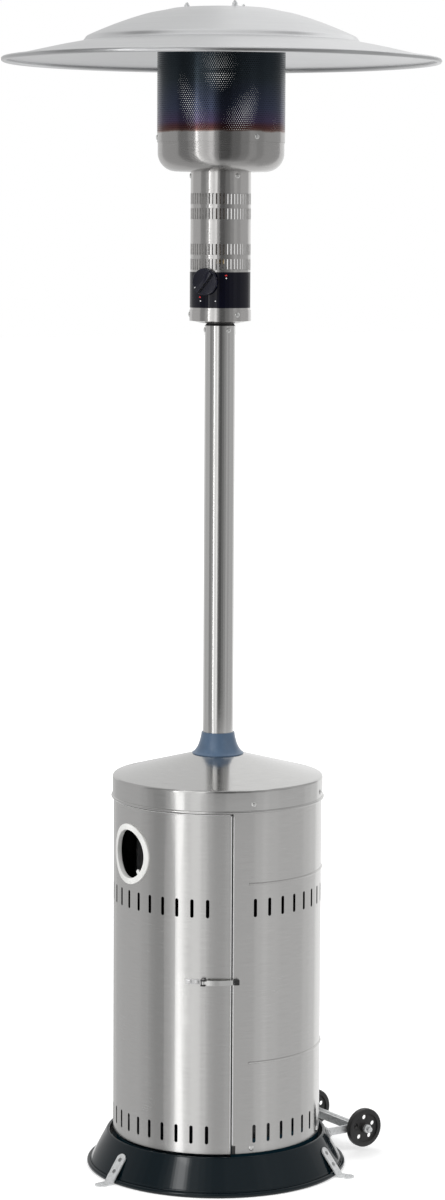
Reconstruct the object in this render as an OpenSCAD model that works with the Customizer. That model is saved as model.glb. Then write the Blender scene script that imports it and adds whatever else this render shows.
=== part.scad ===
// Gas patio heater: round cabinet for a gas bottle on a pressed steel foot,
// a tall pole, a burner head with a glowing screen, and a wide stepped reflector.
// The origin is on the ground under the pole. +Z is up and -Y is the middle of the door.
// A piece that faces -Y is turned about Z to its place, so angles count from the door's middle.

/* [Foot] */
// Diameter of the rolled lip on the ground
base_d = 494; // [480:1:520]
// Height of the rounded crest round the cabinet
base_h = 67; // [60:1:75]
// Sheet of the foot
base_t = 1.5; // [1.2:0.1:2]
// Gap between the cabinet and the crest
rim_gap = 6; // [4:0.5:8]
// Radius of the rounded crest
crest_r = 3.4; // [2.6:0.1:3.8]
// Radius of the lower roll of the lip
lip_r = 4.6; // [4:0.1:5.4]
// Radius of the upper roll of the lip
lip_upper_r = 4; // [3.2:0.1:4.6]

/* [Ground brackets] */
// Width of each strap
anchor_w = 24; // [20:1:28]
// Thickness of each strap
anchor_t = 2.5; // [2:0.1:3]
// Length of the tab on the ground
anchor_tab_l = 30; // [28:1:40]
// Diameter of the hole in the tab
anchor_hole_d = 9; // [6:0.5:11]
// Angle of the first bracket from the middle of the door
anchor_a = 4; // [-6:1:6]
// Count of ground brackets
anchor_n = 3;

/* [Cabinet] */
// Outside diameter of the cabinet
tank_d = 394; // [380:1:408]
// Height of the cabinet from its lower edge to the lid
tank_h = 640; // [600:1:680]
// Sheet of the door and the fixed panel
panel_t = 1; // [0.8:0.1:1.4]
// Half of the angle that the door takes up
door_half_a = 64.6; // [60:0.2:66]
// Gap between the door and the fixed panel
seam_gap = 2.4; // [1.6:0.2:3]
// Depth of the folded edges
fold_d = 12; // [8:1:14]
// Height of one air slot
slot_h = 34.5; // [28:0.5:38]
// Width of one air slot
slot_w = 6.5; // [5:0.5:7]
// Angle from one air slot to the next
slot_pitch_a = 8.55; // [8.2:0.05:8.7]
// Count of slots in a row of the door
door_slot_n = 13; // [9:2:13]
// Count of slots in a row of the fixed panel
panel_slot_n = 25; // [19:2:25]
// Height of the lower slot row above the cabinet's edge
slot_low_z = 36; // [30:1:44]
// Drop of the upper slot row below the cabinet's top
slot_high_drop = 177; // [140:1:210]
// Radius of the two raised beads on the fixed panel
bead_r = 2.2; // [1.6:0.1:2.6]

/* [Window] */
// Outside diameter of the white ring
window_d = 113; // [104:1:118]
// Clear hole in the white ring
window_hole_d = 91; // [84:1:96]
// Drop of the window's middle below the cabinet's top
window_drop = 91; // [80:1:95]
// Thickness of the ring's flange on the door
window_flange_t = 3; // [2:0.2:4]

/* [Hinges and latch] */
// Radius of the hinge knuckles
knuckle_r = 3.6; // [3.2:0.1:4]
// Radius of the hinge pins
hinge_pin_r = 1.6; // [1.2:0.1:1.8]
// Height of one hinge
hinge_h = 54; // [42:1:66]
// Width of a hinge leaf
leaf_w = 24; // [20:1:30]
// Thickness of a hinge leaf
leaf_t = 1.2; // [1:0.1:1.6]
// Drop of the latch below the cabinet's top
latch_drop = 314; // [290:1:340]
// Height of the latch strip
latch_h = 9.5; // [8:0.5:11]
// Thickness of the latch strip
latch_t = 1.2; // [1:0.1:1.6]
// Rise of the latch strip's bow
latch_bow = 6; // [4:0.5:8]

/* [Lid] */
// Height of the lid's skirt
skirt_h = 42; // [36:1:50]
// Sheet of the lid
cap_t = 1.2; // [1:0.1:1.5]
// Radius of the bead round the skirt's lower edge
cap_bead_r = 2.8; // [2:0.1:3.4]
// Rise of the lid from the skirt to the collar
cap_rise = 37; // [30:1:44]

/* [Pole] */
// Outside diameter of the pole
pole_d = 57; // [54:0.5:60]
// Wall of the pole
pole_t = 1.5; // [1.2:0.1:2]
// Length of the pole
pole_l = 879; // [800:1:950]
// Diameter of the collar where it meets the lid
collar_d = 97; // [92:1:104]
// Height of the collar
collar_h = 44; // [38:1:50]

/* [Burner head] */
// Outside diameter of the slotted housing
head_d = 112; // [108:1:116]
// Sheet of the housing
head_t = 1; // [0.8:0.1:1.2]
// Height of the slotted housing
head_h = 274; // [270:1:285]
// Height of the band round the housing's foot
band_h = 20; // [16:1:24]
// Count of slots round the housing
vent_n = 52; // [44:2:54]
// Height of one slot of the housing
vent_h = 20; // [17:0.5:21]
// Width of one slot of the housing
vent_w = 3; // [2:0.2:3.4]
// Height of the control label
label_h = 66; // [62:1:68]
// Thickness of the control label
label_t = 0.8; // [0.6:0.1:1]
// Diameter of the knob
knob_d = 50; // [46:1:54]
// Length that the knob goes in when it is pushed
knob_push = 4; // [3:0.5:4.5]

/* [Burner bowl and screen] */
// Outside diameter of the glowing screen
screen_d = 237; // [226:1:244]
// Height of the glowing screen
screen_h = 180; // [160:1:190]
// Sheet of the screen and the bowl
screen_t = 1; // [0.8:0.1:1.2]
// Depth of the bowl below the screen's lower edge
bowl_h = 53; // [46:1:60]
// Radius of the bowl's lower edge
bowl_edge_r = 34; // [26:1:38]

/* [Reflector] */
// Outside diameter of the reflector
reflector_d = 813; // [780:1:840]
// Height from the screen's top to the flat middle of the reflector
reflector_lift = 65; // [60:1:72]
// Fall of the reflector from its flat middle to the rim
reflector_drop = 95; // [85:1:105]
// Sheet of the reflector
reflector_t = 1.4; // [1.2:0.1:1.8]
// Radius of the rolled rim
rim_roll_r = 4.5; // [3.5:0.1:5]
// Radius of the circle that the three studs stand on
stud_ring_r = 65; // [58:1:70]
// Radius of a stud
stud_r = 3; // [2.5:0.1:3.5]

/* [Wheels] */
// Diameter of a wheel
wheel_d = 75; // [66:1:78]
// Width of a wheel
wheel_w = 13; // [11:0.5:15]
// Distance between the middles of the two wheels
wheel_track = 172; // [160:1:180]
// Distance of the axle behind the pole
axle_y = 288; // [286:1:300]
// Radius of the axle
axle_r = 5; // [4:0.1:5.6]
// Height of the bracket's strip
strip_h = 15; // [12:0.5:17]
// Thickness of the bracket's strip
strip_t = 3; // [2.4:0.1:3.4]

/* [Hidden] */
$fn = 96;

// Shared small sizes
cut = 1;
seat_gap = 0.05;
loose_gap = 0.3;
run_gap = 0.05;
screw_as = [90, 210, 330];
side_screw_as = [76, 132, 228, 284];
screw_r = 2;
screw_head_r = 4;
screw_head_h = 2.2;
screw_l = 8;
screw_flat_h = 1.1;
hole_slack = 0.2;
end_screw_in = 8;
bend_n = 8;
edge_n = 5;
roll_n = 20;

// Heights that the parts stack up to
tank_r = tank_d / 2;
tank_lift = 3;
tank_z = base_h + tank_lift;
tank_top_z = tank_z + tank_h;
door_drop = 3;
door_top_z = tank_top_z - door_drop;
panel_top_up = 25;
panel_top_z = tank_top_z + panel_top_up;
tank_in_r = tank_r - panel_t;

// Foot outline
rim_in_r = tank_r + rim_gap;
crest_c = [rim_in_r + crest_r, base_h - crest_r];
lip_step = [6.6, 4.2];
lip_c = [base_d / 2 - lip_r, lip_r];
lip_upper_c = [lip_c.x - lip_step.x, lip_c.y + lip_step.y];
cone_v = [lip_upper_c.x - crest_c.x, lip_upper_c.y - crest_c.y];
cone_l = norm(cone_v);
cone_n = [-cone_v.y / cone_l, cone_v.x / cone_l];
cone_tilt = atan2(cone_n.y, cone_n.x);
function cone_at(share) = [
    crest_c.x + cone_v.x * share + cone_n.x * crest_r,
    crest_c.y + cone_v.y * share + cone_n.y * crest_r];
function cone_radius(z) = cone_at(0).x + (cone_at(0).y - z) * cone_v.x / -cone_v.y;
anchor_top_share = 0.27;
anchor_bend_out = 4;
anchor_bend_r = base_d / 2 + anchor_bend_out;
end_round_share = 1.05;
end_l = anchor_w / 2 * end_round_share;
strap_from = cone_at(anchor_top_share) + cone_n * seat_gap;
strap_v = [anchor_bend_r - strap_from.x, anchor_t - strap_from.y];
strap_a = atan2(-strap_v.y, strap_v.x);
strap_open_a = atan2(-cone_v.y, cone_v.x) - strap_a;
strap_low_share = 0.62;
strap_screw_ats = [end_l, norm(strap_v) * strap_low_share];
anchor_hole_out = anchor_bend_r + anchor_tab_l - anchor_w / 2;
ledge_drop = 22;
ledge_z = base_h - ledge_drop;
ledge_w = 16;
floor_t = 1.5;
floor_rise = 15;
floor_edge = 5;
seat_r = 118;
seat_up = 1.5;
floor_vent_r = 15;
floor_r = tank_in_r - floor_edge;
floor_z = ledge_z + floor_t + floor_rise;
upstand_t = 1.2;
upstand_gap = 0.3;
upstand_h = 50;
upstand_r = tank_in_r - upstand_gap;
bottom_screw_up = 9;
bottom_screw_z = tank_z + bottom_screw_up;
fold_trim = 2;
window_wall = 3;
window_neck_r = window_hole_d / 2 + window_wall;
window_back = 16;
window_neck_d = 5;
bead_shares = [0.268, 0.794];
bead_clear_a = 2;
slot_high_z = tank_h - slot_high_drop;
window_z = tank_h - window_drop;
bumper_w = 6.5;
bumper_h = 15;

// Frame that carries the pole
post_w = 30;
post_t = 3;
post_tab = 30;
post_in = 16;
post_r = tank_in_r - post_in;
post_side_a = 68;
socket_t = 4;
socket_drop = 5;
pole_foot_z = tank_top_z + socket_drop + socket_t;
post_top_z = pole_foot_z - socket_t;
socket_h = 52;
socket_wall = 3;
pole_r = pole_d / 2;
socket_hub_w = 18;
socket_hub_r = pole_r + socket_hub_w;
arm_w = 34;
bolt_r = 3;
bolt_head_r = 5.5;
bolt_head_h = 4;
bolt_back = 16;
nut_h = 5;
bolt_ring_r = post_r - bolt_back;

// Lid
skirt_out_gap = 0.5;
skirt_in_r = tank_r + skirt_out_gap;
skirt_r = skirt_in_r + cap_t;
cap_edge_r = 6;
cap_edge_a = 84;
cap_bend_z = tank_top_z + skirt_h;
collar_r = collar_d / 2;
cap_top_z = cap_bend_z + cap_rise;
cap_hole_gap = 1;
cap_sag_share = 0.16;
cap_slope = (cap_rise / 2 - cap_edge_r / 2 + cap_rise * cap_sag_share) * 2
    / (skirt_r - cap_edge_r - collar_r);
cap_screw_up = 17;
cap_screw_z = tank_top_z + cap_screw_up;
collar_wall = 2.6;
collar_pull_share = 0.25;
collar_sink_share = 0.2;
collar_foot_t = 2;
collar_slope_share = 1.15;

// Head stack
pole_top_z = pole_foot_z + pole_l;
pole_in_r = pole_r - pole_t;
plug_rise = 9;
plug_neck_r = 20.5;
plug_spigot_l = 36;
plug_stud_r = 10;
plug_bore_r = 5.5;
plug_stud_up = 2;
head_nut_r = 17;
head_nut_h = 8;
band_z = pole_top_z + plug_rise;
band_t = 1.2;
head_r = head_d / 2;
band_r = head_r + hole_slack + band_t;
housing_z = band_z + band_t + seat_gap;
housing_top_z = housing_z + head_h;
band_screw_up = 12;
band_screw_z = band_z + band_screw_up;
pole_screw_z = pole_top_z - end_screw_in;
label_up = 4.5;
label_z = band_z + band_h + label_up;
label_r = head_r + seat_gap;
label_from_a = -75;
label_turn = 210;
knob_a = 30;
knob_rise_share = 0.735;
knob_z = label_z + label_h * knob_rise_share;
vent_rise_shares = [0.377, 0.478, 0.717, 0.817];
housing_screw_z = housing_top_z - end_screw_in;

// Valve and knob, measured outward from the head's middle
valve_w = 28;
valve_h = 40;
valve_back = 9;
valve_front = 43;
valve_boss_r = 9;
valve_boss_out = 4;
valve_boss_end = head_r + label_t + valve_boss_out;
valve_nut_r = 12;
valve_nut_t = 3.2;
valve_port_r = 8;
valve_port_h = 12;
valve_seat = 12;
plug_rotor_r = 6.5;
plug_rotor_end = 40;
spindle_r = 3;
spindle_from = 22;
knob_skirt = 6;
knob_clear = 0.6;
knob_from = head_r + label_t + seat_gap + knob_push + knob_clear;
knob_face = knob_from + knob_skirt;
knob_cup_r = 14;
knob_cup_d = 4.4;
knob_grip_h = 7;
knob_grip_w = 9;
knob_grip_share = 0.92;
knob_edge = 2;
knob_tilt = 40;
spindle_in_grip = 3;
spindle_end = knob_face + spindle_in_grip;

// Gas way up the middle
pipe_r = 4;
pipe_t = 0.8;
inlet_hose_r = 4;
inlet_hose_l = 26;
inlet_hex_r = 9;
inlet_hex_h = 14;
inlet_neck_r = 6;
inlet_neck_l = 12;
inlet_bore_r = 2;
injector_hex_r = 7;
injector_hex_h = 9;
injector_tip_r = 3.5;
injector_tip_l = 26;
valve_top_z = knob_z + valve_h / 2 + valve_port_h;
burner_tube_r = 12;
burner_tube_t = 1.4;
burner_tube_lift = 8;
burner_tube_z = valve_top_z + injector_hex_h + burner_tube_lift;
air_port_n = 4;
air_step_a = 42;
air_hole_r = 9;

// Bowl and screen
bowl_r = screen_d / 2 - screen_t - hole_slack;
bowl_z = housing_top_z + seat_gap;
bowl_in_r = bowl_r - bowl_edge_r;
neck_l = 18;
neck_r = head_r - head_t - hole_slack;
neck_t = 1;
screen_z = bowl_z + bowl_h;
lap = 17;
screen_top_z = screen_z + screen_h;
bowl_screw_up = 9;
bowl_screw_z = screen_z + bowl_screw_up;
plate_t = 1.5;
plate_lift = 3;
plate_z = bowl_z - neck_l + plate_lift;
burner_head_r = 46;
burner_head_h = 34;
burner_head_lift = 16;
burner_head_z = bowl_z + burner_head_lift;
burner_head_t = 1.2;
port_r = 2;
port_n = 24;
port_rise_shares = [0.4, 0.7];
pilot_out = 34;
pilot_r = 3.2;
pilot_l = 40;
pilot_step_a = 26;
pilot_from = plate_z - pilot_l / 2;
rod_r = 1.6;
rod_l = 58;
sleeve_r = 3.4;
rod_rise = 15;
rod_tip_z = bowl_z + rod_rise;
top_lip_h = 9;
top_t = 1.2;
top_dish = 6;
top_flat_r = 84;
top_plate_z = screen_top_z + seat_gap + top_t + top_dish;

// Reflector
reflector_z = screen_top_z + reflector_lift;
reflector_r = reflector_d / 2;
stud_out = 10;
spacer_r = 5;
stud_head_r = 6;
washer_r = 8;
washer_t = 1.2;
wing_nut_r = 5;
wing_nut_h = 6;
wing_span = 22;
wing_t = 2;
wing_h = 8;
stud_as = [78, 198, 318];
brim_end_share = 0.95;
brim_rise = 2.25;
roll_from_a = 110;
roll_turn_a = 320;

// Wheels
wheel_r = wheel_d / 2;
wheel_lift = 5.5;
axle_z = wheel_r + wheel_lift;
hub_r = 10;
hub_out = 1.5;
web_t = 4;
tread_d = 9;
wheel_hole_r = 4.5;
wheel_hole_ring_share = 0.55;
wheel_hole_n = 5;
axle_clear = 0.6;
arm_x = wheel_track / 2 - wheel_w / 2 - hub_out - axle_clear - strip_t;
axle_out = 15;
axle_x = wheel_track / 2 + wheel_w / 2 + axle_out;
cap_nut_r = 8;
cap_nut_l = 5;
cross_in = 16;
tab_w = 16;
tab_stand = 0.35;
tab_lap = 5;
tab_share = 0.36;
tab_x = arm_x + strip_t + tab_w / 2;
tab_a = asin(tab_x / cone_at(tab_share).x);
tread_edge = 3;

// Hinges and latch
hinge_r = tank_r + seat_gap + knuckle_r;
hinge_shares = [0.2, 0.8];
hinge_zs = [for (s = hinge_shares) tank_z + tank_h * s];
knuckle_n = 3;
knuckle_gap = 0.4;
knuckle_h = hinge_h / knuckle_n;
pin_head_r = 2.6;
pin_head_h = 1.4;
seam_a = seam_gap / 2 / tank_r * 180 / PI;
leaf_clear = 1;
neck_share = 0.25;
leaf_start_a = (knuckle_r + leaf_clear) / tank_r * 180 / PI;
leaf_end_a = leaf_w / tank_r * 180 / PI;
latch_z = tank_h - latch_drop;
latch_plate_from_a = 39.5;
latch_block_a = 49.3;
latch_keeper_a = 66.9;
block_w = 9;
block_foot_t = 2.4;
block_over = 2;
block_h = latch_h + block_over;
block_ear_t = 2.4;
latch_pin_r = 1.4;
latch_eye_r = 2.8;
latch_lift = 1;
latch_pivot_r = tank_r + block_foot_t + leaf_t + latch_eye_r + latch_lift;
latch_out = 4;
keeper_w = 9.6;
keeper_out = 8.5;
latch_tip_gap = 0.5;
latch_tip_out = 4.6;
latch_reach_a = latch_keeper_a - latch_block_a - (keeper_w / 2 + latch_tip_gap) / tank_r * 180 / PI;
latch_tip = [(tank_r + latch_tip_out) * sin(latch_reach_a),
    latch_pivot_r - (tank_r + latch_tip_out) * cos(latch_reach_a)];
latch_chord = norm(latch_tip);
latch_arc_r = (latch_chord * latch_chord / 4 + latch_bow * latch_bow) / (2 * latch_bow);
latch_half_a = asin(latch_chord / 2 / latch_arc_r);
latch_chord_a = atan2(latch_tip.y, latch_tip.x);
latch_eye_clear = 7;
latch_head_r = 2.2;
latch_rivet_r = 2.4;
latch_rivet_shares = [0.25, 0.65];
rivet_shares = [-0.33, 0, 0.33];
rivet_r = 3;
rivet_h = 1.2;

// Turns a piece that faces the door's middle to another angle
module at(a) {
    rotate([0, 0, a]) children();
}

// Cylinder that lies outward from the middle, from one radius to another
module outward(r, from, to) {
    translate([0, -from, 0]) rotate([90, 0, 0]) cylinder(r = r, h = to - from);
}

// Ring with straight walls
module ring(r_out, r_in, h) {
    difference() {
        cylinder(r = r_out, h = h);
        translate([0, 0, -cut]) cylinder(r = r_in, h = h + 2 * cut);
    }
}

// Part of a ring between two angles
module arc_wall(r_out, r_in, from_a, to_a, h) {
    rotate([0, 0, from_a - 90]) rotate_extrude(angle = to_a - from_a)
        translate([r_in, 0]) square([r_out - r_in, h]);
}

// Pan-head screw that points inward with its head on a wall at radius r
module wall_screw(r, l) {
    outward(screw_r, r - l, r + seat_gap);
    translate([0, -r - seat_gap, 0]) rotate([90, 0, 0]) rotate_extrude()
        intersection() {
            translate([0, screw_head_h - screw_head_r * 2]) circle(r = screw_head_r * 2);
            square([screw_head_r, screw_head_h]);
        }
}

// Bolt with a round flange head above z = 0 and a nut below
module frame_bolt(grip) {
    cylinder(r = bolt_head_r, h = bolt_head_h, $fn = 6);
    translate([0, 0, -grip - nut_h - cut]) cylinder(r = bolt_r, h = grip + nut_h + 2 * cut);
    translate([0, 0, -grip - nut_h]) cylinder(r = bolt_head_r, h = nut_h, $fn = 6);
}

// Points of a curve that bends once between two ends
function bend(a, b, c, n) = [for (i = [0:n]) let (t = i / n)
    a * (1 - t) * (1 - t) + b * 2 * t * (1 - t) + c * t * t];

// Points of an arc round a middle, from one angle to another
function arc(c, r, from_a, to_a, n) = [for (i = [0:n]) let (a = from_a + (to_a - from_a) * i / n)
    c + [cos(a), sin(a)] * r];

// Foot: rolled lip, sloping skirt, rounded crest and inner ledge in one pressing
module base_shell() {
    inner = crest_r - base_t;
    ledge_in = rim_in_r - ledge_w;
    color([0.05, 0.06, 0.07]) difference() {
        rotate_extrude() {
            translate(lip_c) circle(r = lip_r);
            translate(lip_upper_c) circle(r = lip_upper_r);
            polygon(concat(
                [lip_upper_c + cone_n * inner, lip_upper_c + cone_n * crest_r],
                arc(crest_c, crest_r, cone_tilt, 180, bend_n),
                [[rim_in_r, ledge_z], [ledge_in, ledge_z], [ledge_in, ledge_z - base_t],
                    [rim_in_r + base_t, ledge_z - base_t]],
                arc(crest_c, inner, 180, cone_tilt, bend_n)));
        }
        anchor_bores();
        tab_bores();
    }
}

// Gap between the strap and the skirt at a distance down the strap
function strap_gap(d) = d * tan(strap_open_a) + seat_gap;

// Frame on the underside of the strap: z points out of it, y points up the slope
module on_strap(d) {
    translate([0, -strap_from.x - cos(strap_a) * d, strap_from.y - sin(strap_a) * d])
        rotate([strap_a, 0, 0]) children();
}

// Holes in the skirt of the foot for the ground brackets' screws
module anchor_bores() {
    at_anchors() for (d = strap_screw_ats) on_strap(d)
        translate([0, 0, -strap_gap(d) - screw_l])
            cylinder(r = screw_r + hole_slack, h = screw_l + strap_gap(d));
}

// Repeats a piece at each ground bracket's place
module at_anchors() {
    for (i = [0:anchor_n - 1]) at(anchor_a + i * 360 / anchor_n) children();
}

// Holes in the skirt of the foot for the wheel bracket's screws
module tab_bores() {
    for (side = [-1, 1])
        at(180 - side * tab_a) on_cone(tab_share)
            translate([0, 0, -screw_l]) cylinder(r = screw_r + hole_slack, h = screw_l + cut);
}

// Frame on the skirt of the foot: z points out of the sheet, y points up the slope
module on_cone(share) {
    p = cone_at(share);
    translate([0, -p.x, p.y]) rotate([90 - cone_tilt, 0, 0]) children();
}

// Raised floor that the gas bottle stands on, with the upstand that carries the fixed panel
module base_floor() {
    flange_r = rim_in_r - loose_gap;
    color([0.08, 0.09, 0.1]) difference() {
        union() {
            translate([0, 0, ledge_z]) ring(flange_r, floor_r - floor_t, floor_t);
            translate([0, 0, ledge_z]) ring(floor_r, floor_r - floor_t, floor_z - ledge_z);
            translate([0, 0, floor_z - floor_t]) cylinder(r = floor_r, h = floor_t);
            translate([0, 0, floor_z - cut]) cylinder(r = seat_r, h = seat_up + cut);
            translate([0, 0, ledge_z]) arc_wall(upstand_r, upstand_r - upstand_t,
                door_half_a, 360 - door_half_a, upstand_h + floor_t);
        }
        translate([0, 0, floor_z - floor_t - cut]) cylinder(r = seat_r - floor_t, h = seat_up + cut);
        translate([0, 0, floor_z - cut]) cylinder(r = floor_vent_r, h = seat_up + 2 * cut);
        for (a = [-post_side_a, post_side_a, 180])
            at(a) translate([0, -bolt_ring_r, floor_z - floor_t - cut])
                cylinder(r = bolt_r + hole_slack, h = floor_t + 2 * cut);
        for (a = side_screw_as)
            at(a) translate([0, 0, bottom_screw_z])
                outward(screw_r + hole_slack, floor_r + cut, tank_r);
    }
}

// Takes the corners off a strip's end, so that it is round about the hole in it
module end_cut() {
    side = anchor_w / 2 + cut;
    difference() {
        translate([-side, 0, -anchor_t]) cube([2 * side, end_l + 2 * cut, 3 * anchor_t]);
        translate([0, 0, -2 * anchor_t]) cylinder(r = end_l, h = 5 * anchor_t);
    }
}

// Strap with a round top end, bent to a flat tab on the ground
module anchor_bracket() {
    end_p = strap_from - [cos(strap_a), -sin(strap_a)] * cut;
    tab_end = anchor_hole_out + end_l + cut;
    difference() {
        translate([anchor_w / 2, 0, 0]) rotate([90, 0, -90]) linear_extrude(anchor_w) polygon([
            end_p, [anchor_bend_r + anchor_t / tan(strap_a), 0],
            [tab_end, 0], [tab_end, anchor_t],
            [anchor_bend_r + anchor_t / sin(strap_a), anchor_t],
            end_p + [sin(strap_a), cos(strap_a)] * anchor_t]);
        on_strap(end_l) end_cut();
        translate([0, -anchor_hole_out, 0]) rotate([0, 0, 180]) end_cut();
        translate([0, -anchor_hole_out, -cut]) cylinder(d = anchor_hole_d, h = anchor_t + 2 * cut);
        for (d = strap_screw_ats) on_strap(d)
            translate([0, 0, -cut]) cylinder(r = screw_r + hole_slack, h = anchor_t + 2 * cut);
    }
}

module anchor_brackets() {
    color([0.78, 0.79, 0.78])
        at_anchors() anchor_bracket();
}

// Screw through a strip and the skirt, from the strip's underside: gap to the skirt, strip's thickness
module strip_screw(gap, t) {
    translate([0, 0, -gap - screw_l / 2]) cylinder(r = screw_r, h = screw_l / 2 + gap + t + cut);
    translate([0, 0, t + seat_gap]) cylinder(r = screw_head_r, h = screw_flat_h);
}

// Screws of the ground brackets and of the wheel bracket
module foot_screws() {
    color([0.6, 0.6, 0.6]) {
        at_anchors() for (d = strap_screw_ats) on_strap(d) strip_screw(strap_gap(d), anchor_t);
        for (side = [-1, 1])
            at(180 - side * tab_a) on_cone(tab_share)
                translate([0, 0, tab_stand]) strip_screw(tab_stand, strip_t);
    }
}

// Steel strip post with a folded tab at each end
module post() {
    color([0.55, 0.56, 0.57]) difference() {
        union() {
            translate([-post_w / 2, -post_r, floor_z])
                cube([post_w, post_t, post_top_z - floor_z]);
            for (z = [floor_z, post_top_z - post_t])
                translate([-post_w / 2, -post_r, z]) cube([post_w, post_tab, post_t]);
        }
        translate([0, -bolt_ring_r, floor_z - cut])
            cylinder(r = bolt_r + hole_slack, h = post_top_z - floor_z + 2 * cut);
    }
}

module post_left() {
    at(-post_side_a) post();
}

module post_right() {
    at(post_side_a) post();
}

module post_back() {
    at(180) post();
}

// Bolts through the floor and the posts' feet, and through the socket's arms
module frame_bolts() {
    color([0.7, 0.7, 0.68])
        for (a = [-post_side_a, post_side_a, 180]) at(a) {
            translate([0, -bolt_ring_r, floor_z + post_t]) frame_bolt(post_t + floor_t);
            translate([0, -bolt_ring_r, pole_foot_z]) frame_bolt(post_t + socket_t);
        }
}

// Three-armed plate on the posts, with the tube that holds the pole's foot
module pole_socket() {
    color([0.5, 0.51, 0.52]) difference() {
        union() {
            translate([0, 0, post_top_z]) cylinder(r = socket_hub_r, h = socket_t);
            for (a = [-post_side_a, post_side_a, 180])
                at(a) translate([-arm_w / 2, -post_r, post_top_z]) cube([arm_w, post_r, socket_t]);
            translate([0, 0, pole_foot_z])
                cylinder(r = pole_r + seat_gap + socket_wall, h = socket_h);
        }
        translate([0, 0, pole_foot_z]) cylinder(r = pole_r + seat_gap, h = socket_h + cut);
        translate([0, 0, post_top_z - cut])
            cylinder(r = inlet_neck_r + seat_gap, h = socket_t + 2 * cut);
        for (a = [-post_side_a, post_side_a, 180])
            at(a) translate([0, -bolt_ring_r, post_top_z - cut])
                cylinder(r = bolt_r + hole_slack, h = socket_t + 2 * cut);
    }
}

// Lid: straight skirt with a bead, rounded edge and a gently hollow cone up to the collar
module cap() {
    edge_c = [skirt_r - cap_edge_r, cap_bend_z];
    edge_in_r = cap_edge_r - cap_t;
    rise_top = [collar_r, cap_top_z];
    edge_top = [edge_c.x, cap_bend_z + cap_edge_r];
    mid = (rise_top + edge_top) / 2 - [0, cap_rise * cap_sag_share];
    hole_r = pole_r + cap_hole_gap;
    inner_top = [hole_r, cap_top_z + (collar_r - hole_r) * cap_slope];
    color([0.75, 0.76, 0.76]) difference() {
        rotate_extrude() polygon(concat(
            [inner_top], bend(rise_top, mid, edge_top, bend_n),
            arc(edge_c, cap_edge_r, cap_edge_a, 0, edge_n),
            arc([skirt_r, tank_top_z + cap_bead_r], cap_bead_r, 90, -90, bend_n),
            [[skirt_in_r, tank_top_z]],
            arc(edge_c, edge_in_r, 0, cap_edge_a, edge_n),
            [for (p = bend(edge_top, mid, rise_top, bend_n)) p - [0, cap_t]],
            [inner_top - [0, cap_t]]));
        for (a = side_screw_as)
            at(a) translate([0, 0, cap_screw_z])
                outward(screw_r + hole_slack, tank_in_r, skirt_r + cut);
    }
}

module cap_screws() {
    color([0.8, 0.8, 0.8])
        for (a = side_screw_as) at(a) translate([0, 0, cap_screw_z]) wall_screw(skirt_r, screw_l);
}

// One row of round-ended air slots through a round wall
module slot_row(mid_a, n, z) {
    straight = slot_h - slot_w;
    for (i = [0:n - 1])
        at(mid_a + (i - (n - 1) / 2) * slot_pitch_a) translate([0, 0, z]) {
            translate([-slot_w / 2, -tank_r - cut, -straight / 2])
                cube([slot_w, panel_t + fold_d, straight]);
            for (end = [-1, 1])
                translate([0, 0, end * straight / 2])
                    outward(slot_w / 2, tank_r - fold_d, tank_r + cut);
        }
}

// Fixed part of the cabinet: wraps round the back, with folded edges, slots and two beads
module fixed_panel() {
    from_a = door_half_a + seam_a;
    to_a = 360 - door_half_a - seam_a;
    bead_from_a = leaf_end_a + bead_clear_a;
    notch_a = (bumper_w + loose_gap) / tank_r * 180 / PI;
    color([0.72, 0.73, 0.73]) difference() {
        union() {
            translate([0, 0, tank_z])
                arc_wall(tank_r, tank_in_r, from_a, to_a, panel_top_z - tank_z);
            for (end = [0, 1])
                at(end == 0 ? from_a : to_a)
                    translate([end == 0 ? 0 : -panel_t, -tank_r + panel_t / 2, tank_z + upstand_h])
                        cube([panel_t, fold_d, tank_h - upstand_h - door_drop]);
            for (share = bead_shares)
                translate([0, 0, tank_z + tank_h * share])
                    rotate([0, 0, from_a + bead_from_a - 90])
                        rotate_extrude(angle = to_a - from_a - 2 * bead_from_a)
                            intersection() {
                                translate([tank_r, 0]) circle(r = bead_r);
                                translate([tank_r - panel_t / 2, -bead_r]) square(bead_r * 2);
                            }
        }
        slot_row(180, panel_slot_n, tank_z + slot_low_z);
        slot_row(180, panel_slot_n, tank_z + slot_high_z);
        for (a = side_screw_as) at(a) {
            translate([0, 0, bottom_screw_z])
                outward(screw_r + hole_slack, tank_in_r - cut, tank_r + cut);
            translate([0, 0, cap_screw_z])
                outward(screw_r + hole_slack, tank_in_r - cut, tank_r + cut);
        }
        translate([0, 0, tank_z - cut])
            arc_wall(tank_r + cut, tank_in_r - cut, from_a - cut, from_a + notch_a,
                bumper_h + loose_gap + cut);
    }
}

module panel_screws() {
    color([0.8, 0.8, 0.8])
        for (a = side_screw_as)
            at(a) translate([0, 0, bottom_screw_z]) wall_screw(tank_r, screw_l - cut);
}

// Rubber stop on the upstand at the lower end of the seam
module door_bumper() {
    a0 = door_half_a + seam_a;
    span_a = bumper_w / tank_r * 180 / PI;
    color([0.03, 0.03, 0.03]) translate([0, 0, tank_z])
        arc_wall(tank_r + panel_t, upstand_r + seat_gap, a0, a0 + span_a, bumper_h);
}

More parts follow.
